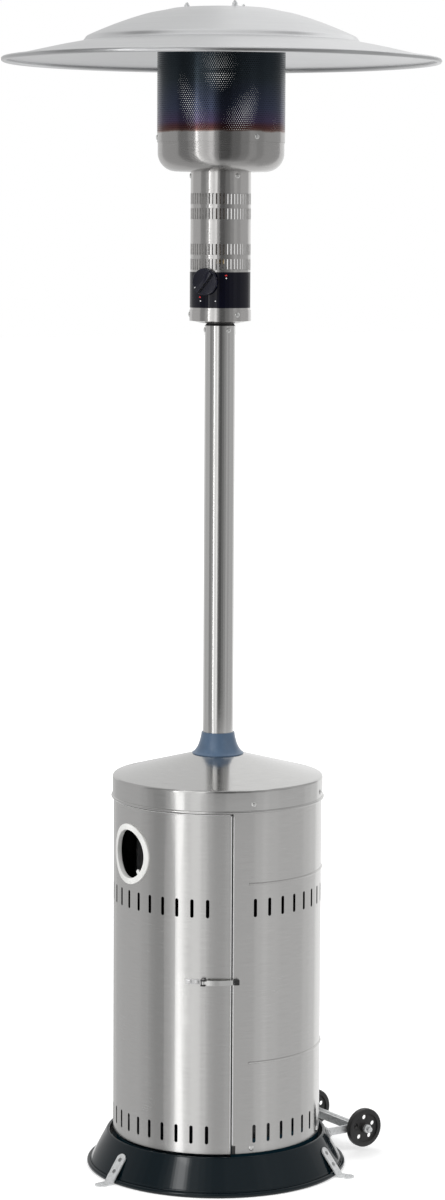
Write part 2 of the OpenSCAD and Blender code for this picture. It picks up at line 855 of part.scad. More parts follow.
// Hinge leaf: curved plate toward side +1 or -1 of the pin, with its own knuckles and room
// for the others
module hinge_leaf(side, own, others) {
    near_a = leaf_start_a * neck_share;
    base_r = tank_r + seat_gap;
    difference() {
        union() {
            difference() {
                translate([0, 0, -hinge_h / 2]) arc_wall(base_r + leaf_t, base_r,
                    side > 0 ? near_a : -leaf_end_a, side > 0 ? leaf_end_a : -near_a, hinge_h);
                for (k = others) translate([0, 0, -hinge_h / 2 + k * knuckle_h - loose_gap / 2])
                    arc_wall(base_r + leaf_t + cut, base_r - cut,
                        side > 0 ? 0 : -leaf_start_a, side > 0 ? leaf_start_a : 0,
                        knuckle_h + loose_gap);
            }
            for (k = own) translate([0, -hinge_r, -hinge_h / 2 + k * knuckle_h + knuckle_gap / 2])
                cylinder(r = knuckle_r, h = knuckle_h - knuckle_gap);
            for (z_share = rivet_shares)
                at(side * (leaf_start_a + leaf_end_a) / 2) translate([0, 0, hinge_h * z_share])
                    outward(rivet_r, base_r + leaf_t / 2, base_r + leaf_t + rivet_h);
        }
        translate([0, -hinge_r, -hinge_h])
            cylinder(r = hinge_pin_r + run_gap, h = 2 * hinge_h);
    }
}

module hinge_frame_leaves() {
    color([0.7, 0.71, 0.71]) for (z = hinge_zs)
        at(-door_half_a) translate([0, 0, z]) hinge_leaf(-1, [0, 2], [1]);
}

module hinge_door_leaves() {
    color([0.74, 0.75, 0.75]) for (z = hinge_zs)
        at(-door_half_a) translate([0, 0, z]) hinge_leaf(1, [1], [0, 2]);
}

module hinge_pins() {
    color([0.6, 0.6, 0.6]) for (z = hinge_zs)
        at(-door_half_a) translate([0, -hinge_r, z]) {
            translate([0, 0, -hinge_h / 2 - seat_gap])
                cylinder(r = hinge_pin_r, h = hinge_h + 2 * seat_gap);
            translate([0, 0, hinge_h / 2 + seat_gap]) cylinder(r = pin_head_r, h = pin_head_h);
            translate([0, 0, -hinge_h / 2 - seat_gap - pin_head_h])
                cylinder(r = pin_head_r, h = pin_head_h);
        }
}

// Door: curved sheet with folded side edges, the round window and two rows of slots
module door_panel() {
    edge_a = door_half_a - seam_a;
    color([0.75, 0.75, 0.75]) difference() {
        union() {
            translate([0, 0, tank_z])
                arc_wall(tank_r, tank_in_r, -edge_a, edge_a, door_top_z - tank_z);
            for (side = [-1, 1])
                at(side * edge_a)
                    translate([side < 0 ? 0 : -panel_t, -tank_r + panel_t / 2, tank_z + fold_trim])
                        cube([panel_t, fold_d, door_top_z - tank_z - 2 * fold_trim]);
        }
        slot_row(0, door_slot_n, tank_z + slot_low_z);
        slot_row(0, door_slot_n, tank_z + slot_high_z);
        translate([0, 0, tank_z + window_z])
            outward(window_neck_r + hole_slack, tank_r - window_back, tank_r + cut);
    }
}

// White ring that lines the hand hole: curved flange outside, short neck through the sheet
module window_ring() {
    flange_in_r = tank_r + seat_gap;
    lip_r = window_d / 2;
    color([0.93, 0.93, 0.92]) translate([0, 0, tank_z + window_z]) {
        difference() {
            intersection() {
                outward(lip_r, tank_r - window_back, tank_r + window_back);
                translate([0, 0, -lip_r]) ring(flange_in_r + window_flange_t, flange_in_r, 2 * lip_r);
            }
            outward(window_hole_d / 2, tank_r - 2 * window_back, tank_r + 2 * window_back);
        }
        difference() {
            intersection() {
                outward(window_neck_r, tank_r - window_back, tank_r + window_back);
                translate([0, 0, -lip_r])
                    ring(flange_in_r + cut, tank_in_r - window_neck_d, 2 * lip_r);
            }
            outward(window_hole_d / 2, tank_r - 2 * window_back, tank_r + 2 * window_back);
        }
    }
}

// Latch plate on the door
module latch_plate() {
    block_half_a = block_w / 2 / tank_r * 180 / PI;
    base_r = tank_r + seat_gap;
    color([0.7, 0.7, 0.68]) translate([0, 0, tank_z + latch_z]) {
        translate([0, 0, -latch_h / 2]) arc_wall(base_r + leaf_t, base_r,
            latch_plate_from_a, latch_block_a + block_half_a, latch_h);
        for (share = latch_rivet_shares)
            at(latch_plate_from_a + (latch_block_a - latch_plate_from_a) * share)
                outward(latch_rivet_r, base_r + leaf_t / 2, base_r + leaf_t + rivet_h);
    }
}

// Block with two ears that hold the latch pin
module latch_block() {
    foot = tank_r + leaf_t + 2 * seat_gap;
    color([0.04, 0.04, 0.04]) at(latch_block_a) translate([0, 0, tank_z + latch_z])
        difference() {
            union() {
                translate([-block_w / 2, -foot - block_foot_t, -block_h / 2])
                    cube([block_w, block_foot_t, block_h]);
                for (side = [-1, 1])
                    translate([-block_w / 2, -latch_pivot_r - latch_out,
                        side * (block_h - block_ear_t) / 2 - block_ear_t / 2])
                        cube([block_w, latch_pivot_r + latch_out - foot, block_ear_t]);
            }
            translate([0, -latch_pivot_r, -block_h])
                cylinder(r = latch_pin_r + run_gap, h = 2 * block_h);
        }
}

module latch_pin() {
    color([0.6, 0.6, 0.6]) at(latch_block_a) translate([0, -latch_pivot_r, tank_z + latch_z]) {
        translate([0, 0, -block_h / 2 - seat_gap])
            cylinder(r = latch_pin_r, h = block_h + 2 * seat_gap);
        for (side = [0, 1])
            translate([0, 0, (side - 0.5) * (block_h + 2 * seat_gap + pin_head_h) - pin_head_h / 2])
                cylinder(r = latch_head_r, h = pin_head_h);
    }
}

// Bowed latch strip with a rolled eye on the pin; its tip ends just short of the keeper
module latch_lever() {
    eye_h = block_h - 2 * block_ear_t - 2 * loose_gap;
    color([0.82, 0.83, 0.83]) at(latch_block_a) translate([0, -latch_pivot_r, tank_z + latch_z])
        difference() {
            union() {
                translate([0, 0, -eye_h / 2]) cylinder(r = latch_eye_r, h = eye_h);
                difference() {
                    rotate([0, 0, latch_chord_a])
                        translate([latch_chord / 2, latch_arc_r - latch_bow, -latch_h / 2])
                            rotate([0, 0, -90 - latch_half_a])
                                rotate_extrude(angle = 2 * latch_half_a)
                                    translate([latch_arc_r - latch_t / 2, 0])
                                        square([latch_t, latch_h]);
                    for (z = [eye_h / 2, -eye_h / 2 - latch_h])
                        translate([0, 0, z]) cylinder(r = latch_eye_clear, h = latch_h);
                }
            }
            translate([0, 0, -block_h]) cylinder(r = latch_pin_r + run_gap, h = 2 * block_h);
        }
}

module latch_keeper() {
    color([0.02, 0.02, 0.02]) at(latch_keeper_a) translate([0, 0, tank_z + latch_z]) {
        difference() {
            translate([-keeper_w / 2, -tank_r - keeper_out, -keeper_w / 2])
                cube([keeper_w, keeper_out + panel_t, keeper_w]);
            translate([0, 0, -keeper_w]) cylinder(r = tank_r + seat_gap, h = 2 * keeper_w);
        }
    }
}

module pole() {
    color([0.76, 0.77, 0.78]) difference() {
        translate([0, 0, pole_foot_z]) ring(pole_r, pole_in_r, pole_l);
        for (a = screw_as)
            at(a) translate([0, 0, pole_screw_z])
                outward(screw_r + hole_slack, pole_in_r - cut, pole_r + cut);
    }
}

// Flared collar that covers the hole in the lid
module pole_collar() {
    top = [pole_r + collar_wall, cap_top_z + collar_h];
    foot = [collar_r, cap_top_z + collar_foot_t];
    pull = [top.x + (foot.x - top.x) * collar_pull_share, foot.y + collar_h * collar_sink_share];
    flank = bend(top, pull, foot, bend_n);
    in_r = pole_r + seat_gap;
    rise = cap_top_z + (collar_r - in_r) * cap_slope * collar_slope_share;
    color([0.29, 0.39, 0.51]) rotate_extrude()
        polygon(concat([[in_r, top.y]], flank, [[collar_r, cap_top_z + seat_gap], [in_r, rise]]));
}

// Plug in the top of the pole, with the threaded stud that carries the head
module pole_plug() {
    color([0.1, 0.1, 0.11]) difference() {
        union() {
            translate([0, 0, pole_top_z - plug_spigot_l])
                cylinder(r = pole_in_r - seat_gap, h = plug_spigot_l);
            translate([0, 0, pole_top_z])
                cylinder(r1 = pole_r, r2 = plug_neck_r, h = plug_rise - seat_gap);
            translate([0, 0, band_z - seat_gap])
                cylinder(r = plug_stud_r, h = band_t + head_nut_h + plug_stud_up);
        }
        translate([0, 0, pole_top_z - plug_spigot_l - cut])
            cylinder(r = plug_bore_r, h = plug_spigot_l + plug_rise + head_nut_h + 6 * cut);
        for (a = screw_as)
            at(a) translate([0, 0, pole_screw_z])
                outward(screw_r + hole_slack, pole_in_r - screw_l, pole_r);
    }
}

module head_nut() {
    color([0.75, 0.65, 0.35]) translate([0, 0, band_z + band_t + seat_gap]) difference() {
        cylinder(r = head_nut_r, h = head_nut_h, $fn = 6);
        translate([0, 0, -cut]) cylinder(r = plug_stud_r + seat_gap, h = head_nut_h + 2 * cut);
    }
}

module pole_screws() {
    color([0.8, 0.8, 0.8])
        for (a = screw_as) at(a) translate([0, 0, pole_screw_z]) wall_screw(pole_r, screw_l);
}

// Hose tail, hexagon and neck through the socket plate
module gas_inlet() {
    color([0.78, 0.66, 0.36]) difference() {
        union() {
            translate([0, 0, post_top_z - seat_gap - inlet_hex_h])
                cylinder(r = inlet_hex_r, h = inlet_hex_h, $fn = 6);
            translate([0, 0, post_top_z - 2 * seat_gap])
                cylinder(r = inlet_neck_r, h = inlet_neck_l);
            translate([0, 0, post_top_z - inlet_hex_h - inlet_hose_l])
                cylinder(r = inlet_hose_r, h = inlet_hose_l + cut);
        }
        translate([0, 0, post_top_z - inlet_hex_h - inlet_hose_l - cut])
            cylinder(r = inlet_bore_r, h = inlet_hex_h + inlet_hose_l + inlet_neck_l + 2 * cut);
    }
}

// Gas pipe from the inlet up through the pole to the valve
module gas_pipe() {
    from = post_top_z + inlet_neck_l - 2 * seat_gap;
    color([0.7, 0.45, 0.3]) translate([0, 0, from])
        ring(pipe_r, pipe_r - pipe_t, knob_z - valve_h / 2 - valve_port_h - from);
}

// Band round the foot of the head, with the plate that sits on the plug
module head_band() {
    color([0.77, 0.78, 0.79]) translate([0, 0, band_z]) difference() {
        cylinder(r = band_r, h = band_h);
        translate([0, 0, band_t]) cylinder(r = band_r - band_t, h = band_h);
        translate([0, 0, -cut]) cylinder(r = plug_stud_r + hole_slack, h = band_h);
        for (a = screw_as)
            at(a) translate([0, 0, band_screw_z - band_z])
                outward(screw_r + hole_slack, head_r - cut, band_r + cut);
    }
}

module band_screws() {
    color([0.82, 0.82, 0.82])
        for (a = screw_as) at(a) translate([0, 0, band_screw_z]) wall_screw(band_r, screw_l);
}

// Slotted tube that houses the valve, with four rows of slots
module head_housing() {
    color([0.78, 0.79, 0.8]) difference() {
        translate([0, 0, housing_z]) ring(head_r, head_r - head_t, head_h);
        for (share = vent_rise_shares, i = [0:vent_n - 1])
            at(i * 360 / vent_n)
                translate([-vent_w / 2, -head_r - cut, housing_z + head_h * share - vent_h / 2])
                    cube([vent_w, head_t + 2 * cut, vent_h]);
        at(knob_a) translate([0, 0, knob_z])
            outward(valve_boss_r + hole_slack, head_r - head_t - cut, head_r + cut);
        for (a = screw_as) at(a) {
            translate([0, 0, band_screw_z])
                outward(screw_r + hole_slack, head_r - head_t - cut, head_r + cut);
            translate([0, 0, housing_screw_z])
                outward(screw_r + hole_slack, head_r - head_t - cut, head_r + cut);
        }
    }
}

module housing_screws() {
    color([0.82, 0.82, 0.82])
        for (a = screw_as) at(a) translate([0, 0, housing_screw_z]) wall_screw(head_r, screw_l);
}

// Curved black label plate with the hole for the valve
module control_label() {
    color([0.03, 0.03, 0.05]) difference() {
        translate([0, 0, label_z])
            arc_wall(label_r + label_t, label_r, label_from_a, label_from_a + label_turn, label_h);
        at(knob_a) translate([0, 0, knob_z])
            outward(valve_boss_r + hole_slack, head_r - cut, head_r + label_t + cut);
    }
}

// Valve body: block with a gas port below and above and a threaded boss to the front
module gas_valve() {
    color([0.75, 0.66, 0.42]) at(knob_a) translate([0, 0, knob_z]) difference() {
        union() {
            translate([-valve_w / 2, -valve_front, -valve_h / 2])
                cube([valve_w, valve_front + valve_back, valve_h]);
            outward(valve_boss_r, valve_front - cut, valve_boss_end);
            translate([0, 0, -valve_h / 2 - valve_port_h])
                cylinder(r = valve_port_r, h = valve_h + 2 * valve_port_h);
        }
        outward(plug_rotor_r + run_gap, valve_seat, plug_rotor_end + run_gap);
        outward(spindle_r + run_gap, plug_rotor_end, valve_boss_end + cut);
    }
}

module valve_nut() {
    color([0.7, 0.7, 0.7]) at(knob_a) translate([0, 0, knob_z]) difference() {
        translate([0, -head_r - label_t - 2 * seat_gap, 0]) rotate([90, 0, 0])
            cylinder(r = valve_nut_r, h = valve_nut_t, $fn = 6);
        outward(valve_boss_r + seat_gap, valve_front, valve_boss_end + cut);
    }
}

// Turning plug of the valve
module valve_plug() {
    color([0.8, 0.7, 0.45]) at(knob_a) translate([0, 0, knob_z]) difference() {
        outward(plug_rotor_r, valve_seat + loose_gap, plug_rotor_end - loose_gap);
        outward(spindle_r + run_gap, spindle_from - knob_push - 2 * cut, plug_rotor_end + cut);
    }
}

module knob_spindle() {
    color([0.6, 0.6, 0.6]) at(knob_a) translate([0, 0, knob_z])
        outward(spindle_r, spindle_from, spindle_end);
}

// Knob: round skirt, hollow behind, with a raised grip bar and a pointer line
module control_knob() {
    grip_l = knob_d * knob_grip_share;
    color([0.03, 0.03, 0.03]) at(knob_a) translate([0, 0, knob_z]) difference() {
        union() {
            translate([0, -knob_from, 0]) rotate([90, 0, 0]) rotate_extrude() {
                square([knob_d / 2 - knob_edge, knob_skirt]);
                square([knob_d / 2, knob_skirt - knob_edge]);
                translate([knob_d / 2 - knob_edge, knob_skirt - knob_edge]) circle(r = knob_edge);
            }
            intersection() {
                rotate([0, knob_tilt, 0])
                    translate([-knob_grip_w / 2, -knob_face - knob_grip_h, -grip_l / 2])
                        cube([knob_grip_w, knob_grip_h + cut, grip_l]);
                outward(grip_l / 2, knob_face - cut, knob_face + knob_grip_h + cut);
            }
        }
        outward(knob_cup_r, knob_from - cut, knob_from + knob_cup_d);
        outward(spindle_r + seat_gap / 2, knob_from, spindle_end + seat_gap);
    }
}

// Injector on the valve's upper port; its tip stands in the mouth of the burner tube
module gas_injector() {
    color([0.8, 0.68, 0.36]) translate([0, 0, valve_top_z + seat_gap]) difference() {
        union() {
            cylinder(r = injector_hex_r, h = injector_hex_h, $fn = 6);
            cylinder(r = injector_tip_r, h = injector_tip_l);
        }
        translate([0, 0, injector_tip_l - 2 * injector_tip_r])
            cylinder(r = pipe_t, h = 3 * injector_tip_r);
    }
}

// Plate in the neck of the bowl that carries the burner tube, pilot, probe and electrode
module burner_plate() {
    color([0.65, 0.66, 0.66]) translate([0, 0, plate_z]) difference() {
        cylinder(r = neck_r - neck_t - seat_gap, h = plate_t);
        translate([0, 0, -cut]) cylinder(r = burner_tube_r + seat_gap, h = plate_t + 2 * cut);
        for (i = [-1, 0, 1])
            at(knob_a + i * pilot_step_a) translate([0, -pilot_out, -cut])
                cylinder(r = (i == 0 ? pilot_r : sleeve_r) + seat_gap, h = plate_t + 2 * cut);
        for (i = [0:4])
            at(knob_a + 180 + (i - 2) * air_step_a) translate([0, -pilot_out, -cut])
                cylinder(r = air_hole_r, h = plate_t + 2 * cut);
    }
}

// Mixing tube with air holes near its mouth
module burner_tube() {
    color([0.7, 0.7, 0.7]) difference() {
        translate([0, 0, burner_tube_z])
            ring(burner_tube_r, burner_tube_r - burner_tube_t, burner_head_z - burner_tube_z);
        for (i = [0:air_port_n - 1])
            at(i * 360 / air_port_n) translate([0, 0, burner_tube_z + burner_tube_r * 3])
                outward(burner_tube_r / 2, burner_tube_r / 2, burner_tube_r + cut);
    }
}

// Drum burner with two rings of ports
module burner_head() {
    color([0.55, 0.54, 0.52]) translate([0, 0, burner_head_z + seat_gap]) difference() {
        cylinder(r = burner_head_r, h = burner_head_h);
        translate([0, 0, burner_head_t])
            cylinder(r = burner_head_r - burner_head_t, h = burner_head_h - 2 * burner_head_t);
        translate([0, 0, -cut])
            cylinder(r = burner_tube_r - burner_tube_t, h = burner_head_t + 2 * cut);
        for (i = [0:port_n - 1], share = port_rise_shares)
            at(i * 360 / port_n) translate([0, 0, burner_head_h * share])
                outward(port_r, burner_head_r - 2 * burner_head_t, burner_head_r + cut);
    }
}

// Pilot tube in the burner plate
module pilot_burner() {
    color([0.72, 0.6, 0.35]) at(knob_a) translate([0, -pilot_out, pilot_from])
        cylinder(r = pilot_r, h = burner_head_z - cut - pilot_from);
}

// Rod in a sleeve beside the pilot
module probe() {
    translate([0, -pilot_out, plate_z - rod_l / 3])
        cylinder(r = rod_r, h = rod_tip_z - plate_z + rod_l / 3);
    translate([0, -pilot_out, plate_z - rod_l / 5]) cylinder(r = sleeve_r, h = rod_l / 3);
}

module thermocouple() {
    color([0.72, 0.5, 0.35]) at(knob_a - pilot_step_a) probe();
}

module spark_electrode() {
    color([0.92, 0.92, 0.9]) at(knob_a + pilot_step_a) probe();
}

// Switch that shuts the gas off when the heater tips; stands on the band's plate
module tilt_switch() {
    switch_w = 24;
    switch_d = 14;
    switch_h = 30;
    switch_out = 42;
    color([0.06, 0.06, 0.07]) at(knob_a + 180)
        translate([-switch_w / 2, -switch_out, band_z + band_t + seat_gap]) {
            cube([switch_w, switch_d, switch_h]);
            translate([switch_w / 2, switch_d / 2, switch_h]) cylinder(r = switch_d / 4, h = switch_d / 2);
        }
}

// Bowl: straight wall, rounded lower edge, flat bottom and a neck into the housing
module burner_bowl() {
    corner_c = [bowl_in_r, bowl_z + bowl_edge_r];
    color([0.76, 0.77, 0.78]) difference() {
        rotate_extrude() {
            translate([bowl_r - screen_t, corner_c.y])
                square([screen_t, screen_z + lap - corner_c.y]);
            intersection() {
                translate(corner_c) difference() {
                    circle(r = bowl_edge_r);
                    circle(r = bowl_edge_r - screen_t);
                }
                translate([corner_c.x, corner_c.y - bowl_edge_r]) square(bowl_edge_r);
            }
            translate([neck_r - neck_t, bowl_z]) square([corner_c.x - neck_r + neck_t, screen_t]);
            translate([neck_r - neck_t, bowl_z - neck_l]) square([neck_t, neck_l + screen_t]);
        }
        for (a = screw_as) at(a) {
            translate([0, 0, bowl_screw_z]) outward(screw_r + hole_slack, bowl_in_r, bowl_r + cut);
            translate([0, 0, housing_screw_z])
                outward(screw_r + hole_slack, neck_r - neck_t - cut, neck_r + cut);
        }
    }
}

module bowl_screws() {
    color([0.82, 0.82, 0.82])
        for (a = screw_as)
            at(a) translate([0, 0, bowl_screw_z]) wall_screw(screen_d / 2, screw_l);
}

// Perforated screen; the fine holes are left to the surface
module glow_screen() {
    r = screen_d / 2;
    color([0.16, 0.15, 0.2]) difference() {
        translate([0, 0, screen_z]) ring(r, r - screen_t, screen_h);
        for (a = screw_as)
            at(a) translate([0, 0, bowl_screw_z]) outward(screw_r + hole_slack, bowl_in_r, r + cut);
    }
}

// Lid of the screen: lip over the screen's edge and a shallow dish that carries the studs
module screen_top() {
    r = screen_d / 2 + seat_gap + top_t;
    z = screen_top_z + seat_gap;
    color([0.6, 0.6, 0.6]) difference() {
        rotate_extrude() polygon([
            [0, z + top_t + top_dish], [top_flat_r, z + top_t + top_dish],
            [top_flat_r + top_dish * 2, z + top_t], [r, z + top_t], [r, z - top_lip_h],
            [r - top_t, z - top_lip_h], [r - top_t, z], [top_flat_r + top_dish * 2, z],
            [top_flat_r, z + top_dish], [0, z + top_dish]]);
        for (a = stud_as)
            at(a) translate([0, -stud_ring_r, z]) cylinder(r = stud_r + hole_slack, h = top_dish * 3);
    }
}

// Studs with a head under the screen's lid and a spacer sleeve up to the reflector
module reflector_studs() {
    under = reflector_z - reflector_t - seat_gap;
    color([0.72, 0.72, 0.72]) for (a = stud_as) at(a) translate([0, -stud_ring_r, 0]) {
        translate([0, 0, top_plate_z - top_t - seat_gap - washer_t * 2])
            cylinder(r = stud_head_r, h = washer_t * 2);
        translate([0, 0, top_plate_z - top_t - washer_t])
            cylinder(r = stud_r, h = reflector_z + stud_out - top_plate_z + top_t + washer_t);
        translate([0, 0, top_plate_z + seat_gap])
            cylinder(r = spacer_r, h = under - top_plate_z - seat_gap);
    }
}

// Stepped reflector: flat middle, steep crown, a step, a shallow brim and a rolled rim
module reflector() {
    roll_c = [reflector_r - rim_roll_r, reflector_z - reflector_drop];
    brim = roll_c + [0, brim_rise];
    line = [for (p = crown_shares) [brim.x * p.x, reflector_z - (reflector_z - brim.y) * p.y]];
    color([0.8, 0.8, 0.78]) difference() {
        rotate_extrude() polygon(concat(
            [for (p = line) if (p.x < brim.x * brim_end_share) p],
            arc(roll_c, rim_roll_r, roll_from_a, roll_from_a - roll_turn_a, roll_n),
            [for (i = [len(line) - 1:-1:0]) if (line[i].x < brim.x * brim_end_share)
                line[i] - [0, reflector_t]]));
        for (a = stud_as)
            at(a) translate([0, -stud_ring_r, reflector_z - reflector_drop])
                cylinder(r = stud_r + hole_slack, h = reflector_drop + cut);
    }
}

// Places along the reflector: share of the radius, share of the fall
crown_shares = [
    [0, 0], [0.2, 0], [0.225, 0.01], [0.28, 0.06], [0.348, 0.12], [0.45, 0.26], [0.54, 0.41],
    [0.612, 0.545], [0.62, 0.565], [0.638, 0.66], [0.65, 0.675], [0.75, 0.76], [0.89, 0.895], [1, 1]
];
// Wing nuts on the studs, each with its washer
module wing_nuts() {
    color([0.75, 0.75, 0.74]) for (a = stud_as) at(a) translate([0, -stud_ring_r, reflector_z + seat_gap])
        difference() {
            union() {
                cylinder(r = washer_r, h = washer_t);
                cylinder(r = wing_nut_r, h = washer_t + wing_nut_h);
                translate([-wing_span / 2, -wing_t / 2, washer_t + wing_nut_h - wing_h / 2])
                    cube([wing_span, wing_t, wing_h]);
            }
            translate([0, 0, -cut]) cylinder(r = stud_r + seat_gap, h = stud_out * 3);
        }
}

// Galvanised strip bracket: two arms from the foot, a cross strip and two tabs on the foot
module wheel_bracket() {
    inner_y = axle_y - cross_in;
    low = axle_z - strip_h / 2;
    color([0.7, 0.71, 0.7]) difference() {
        union() {
            for (side = [-1, 1]) {
                x0 = side < 0 ? -arm_x - strip_t : arm_x;
                translate([x0, 0, 0]) rotate([90, 0, 90]) linear_extrude(strip_t)
                    polygon([
                        [arm_foot_y(low), low], [axle_y, low],
                        [axle_y, low + strip_h], [arm_foot_y(low + strip_h), low + strip_h]]);
                translate([x0, axle_y, axle_z]) rotate([0, 90, 0])
                    cylinder(r = strip_h / 2, h = strip_t);
                at(180 - side * tab_a) on_cone(tab_share)
                    translate([-tab_w / 2 - (side > 0 ? 0 : tab_lap), -strip_h / 2, tab_stand])
                        cube([tab_w + tab_lap, strip_h, strip_t]);
            }
            translate([-arm_x, inner_y - strip_t, low]) cube([2 * arm_x, strip_t, strip_h]);
        }
        translate([-axle_x, axle_y, axle_z]) rotate([0, 90, 0])
            cylinder(r = axle_r + run_gap, h = 2 * axle_x);
        for (side = [-1, 1])
            at(180 - side * tab_a) on_cone(tab_share)
                translate([0, 0, -cut]) cylinder(r = screw_r + hole_slack, h = strip_t * 3);
    }
}

function arm_foot_y(z) = sqrt(pow(cone_radius(z), 2) - arm_x * arm_x) + tab_stand;

// Axle with a cap pressed on at each end
module wheel_axle() {
    near = wheel_track / 2 + wheel_w / 2 + hub_out + axle_clear;
    color([0.78, 0.78, 0.78]) {
        translate([-axle_x, axle_y, axle_z]) rotate([0, 90, 0]) cylinder(r = axle_r, h = 2 * axle_x);
        for (side = [-1, 1])
            translate([side < 0 ? -near - cap_nut_l : near, axle_y, axle_z]) rotate([0, 90, 0])
                cylinder(r = cap_nut_r, h = cap_nut_l);
    }
}

// Wheel with a rounded tread, a thin web with five holes and a hub
module wheel(side) {
    color([0.03, 0.03, 0.03]) translate([side * wheel_track / 2, axle_y, axle_z]) rotate([0, 90, 0])
        difference() {
            rotate_extrude() {
                translate([0, -wheel_w / 2 - hub_out]) square([hub_r, wheel_w + 2 * hub_out]);
                translate([0, -web_t / 2]) square([wheel_r - tread_d / 2, web_t]);
                translate([wheel_r - tread_d, -wheel_w / 2]) square([tread_d - tread_edge, wheel_w]);
                translate([wheel_r - tread_d, -wheel_w / 2 + tread_edge])
                    square([tread_d, wheel_w - 2 * tread_edge]);
                for (end = [-1, 1])
                    translate([wheel_r - tread_edge, end * (wheel_w / 2 - tread_edge)])
                        circle(r = tread_edge);
            }
            translate([0, 0, -wheel_w]) cylinder(r = axle_r + run_gap, h = 2 * wheel_w);
            for (i = [0:wheel_hole_n - 1])
                rotate([0, 0, (i + 0.5) * 360 / wheel_hole_n])
                    translate([wheel_r * wheel_hole_ring_share, 0, -wheel_w])
                        cylinder(r = wheel_hole_r, h = 2 * wheel_w);
        }
}

module wheel_left() {
    wheel(-1);
}

module wheel_right() {
    wheel(1);
}

base_shell();
base_floor();
anchor_brackets();
foot_screws();
post_left();
post_right();
post_back();
frame_bolts();
pole_socket();
cap();
cap_screws();
fixed_panel();
panel_screws();
door_bumper();
hinge_frame_leaves();
hinge_pins();
latch_keeper();
door_panel();
window_ring();
hinge_door_leaves();
latch_plate();
latch_block();
latch_pin();
latch_lever();
pole();
pole_collar();
pole_plug();
pole_screws();
gas_inlet();
gas_pipe();
head_band();
head_nut();
band_screws();
head_housing();
housing_screws();
control_label();
gas_valve();
valve_nut();
valve_plug();
knob_spindle();
control_knob();
gas_injector();
burner_plate();
burner_tube();
burner_head();
pilot_burner();
thermocouple();
spark_electrode();
tilt_switch();
burner_bowl();
bowl_screws();
glow_screen();
screen_top();
reflector_studs();
reflector();
wing_nuts();
wheel_bracket();
wheel_axle();
wheel_left();
wheel_right();
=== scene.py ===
"""Looks of a free-standing patio heater: brushed steel cabinet, pole, burner head and spun reflector."""

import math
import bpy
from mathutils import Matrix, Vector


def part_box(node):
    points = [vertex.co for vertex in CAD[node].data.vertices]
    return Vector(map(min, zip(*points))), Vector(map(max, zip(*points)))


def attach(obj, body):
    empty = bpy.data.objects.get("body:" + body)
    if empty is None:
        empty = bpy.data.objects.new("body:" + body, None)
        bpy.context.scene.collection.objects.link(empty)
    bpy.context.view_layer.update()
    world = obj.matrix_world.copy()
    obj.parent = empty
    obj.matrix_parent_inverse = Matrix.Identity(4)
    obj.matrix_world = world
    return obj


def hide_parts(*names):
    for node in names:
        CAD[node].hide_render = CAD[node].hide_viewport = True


bl_info = {
    "name": "Patio heater looks",
    "version": (1, 0, 0),
    "blender": (4, 5, 0),
    "location": "3D View > Sidebar > Heater",
    "description": "Gives the packed patio heater its finishes, its spun forms and its stage",
    "category": "Object",
}

import bmesh
import bpy
from bpy.props import FloatProperty, FloatVectorProperty, PointerProperty
from mathutils import Matrix, Vector

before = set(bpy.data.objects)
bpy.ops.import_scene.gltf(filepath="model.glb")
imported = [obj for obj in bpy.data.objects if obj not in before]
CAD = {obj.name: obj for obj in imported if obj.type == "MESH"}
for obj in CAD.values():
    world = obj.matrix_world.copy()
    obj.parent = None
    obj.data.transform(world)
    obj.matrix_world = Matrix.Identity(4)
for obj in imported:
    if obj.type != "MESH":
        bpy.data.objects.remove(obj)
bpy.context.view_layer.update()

MM = 0.001


def colour(label, note, value):
    return FloatVectorProperty(name=label, description=note, default=value, min=0, max=1, size=3, subtype="COLOR")


def length(label, note, value):
    return FloatProperty(name=label, description=note, default=value, min=0, unit="LENGTH", precision=5)


class HeaterColours(bpy.types.PropertyGroup):
    """Colours of the heater's finishes"""

    cabinet: colour("Cabinet steel", "Brushed stainless sheet of the door and panel", (0.62, 0.615, 0.605))
    lid: colour("Lid steel", "Stainless sheet of the lid", (0.6, 0.597, 0.588))
    pole: colour("Pole steel", "Polished tube of the pole", (0.66, 0.655, 0.645))
    head: colour("Head steel", "Stainless sheet of the burner head", (0.6, 0.59, 0.58))
    aluminium: colour("Reflector", "Spun satin aluminium", (0.625, 0.63, 0.635))
    zinc: colour("Zinc", "Hot-dipped strip and washers", (0.68, 0.69, 0.695))
    brass: colour("Brass", "Gas fittings", (0.62, 0.44, 0.2))
    copper: colour("Copper", "Gas pipe", (0.66, 0.33, 0.21))
    enamel: colour("Enamel", "Gloss black foot", (0.0012, 0.0062, 0.0095))
    collar: colour("Collar", "Steel blue collar on the pole's foot", (0.075, 0.125, 0.2))
    label: colour("Label", "Black control plate", (0.0014, 0.0016, 0.0065))
    plastic: colour("Black plastic", "Wheels, catch, plug and tilt switch", (0.014, 0.014, 0.015))
    white: colour("White plastic", "Ring of the hand hole", (0.83, 0.83, 0.81))
    mark: colour("Red mark", "Marks on the control plate", (0.55, 0.02, 0.02))
    heated: colour("Heated steel", "Screen where it glows", (0.034, 0.045, 0.055))


class HeaterSizes(bpy.types.PropertyGroup):
    """Sizes of the heater's fine detail"""

    hole_pitch: length("Hole pitch", "Distance between holes of the glowing screen", 0.0042)
    hole_d: length("Hole size", "Width of a hole of the glowing screen", 0.0019)
    edge: length("Edge", "Usual round on pressed and moulded edges", 0.0004)
    recess_w: length("Recess width", "Width of the cross in a screw's head", 0.0015)
    head_r: length("Head radius", "Radius of a screw's head", 0.0048)


def colours():
    return bpy.context.scene.heater_colours


def sizes():
    return bpy.context.scene.heater_sizes


# Shader nodes


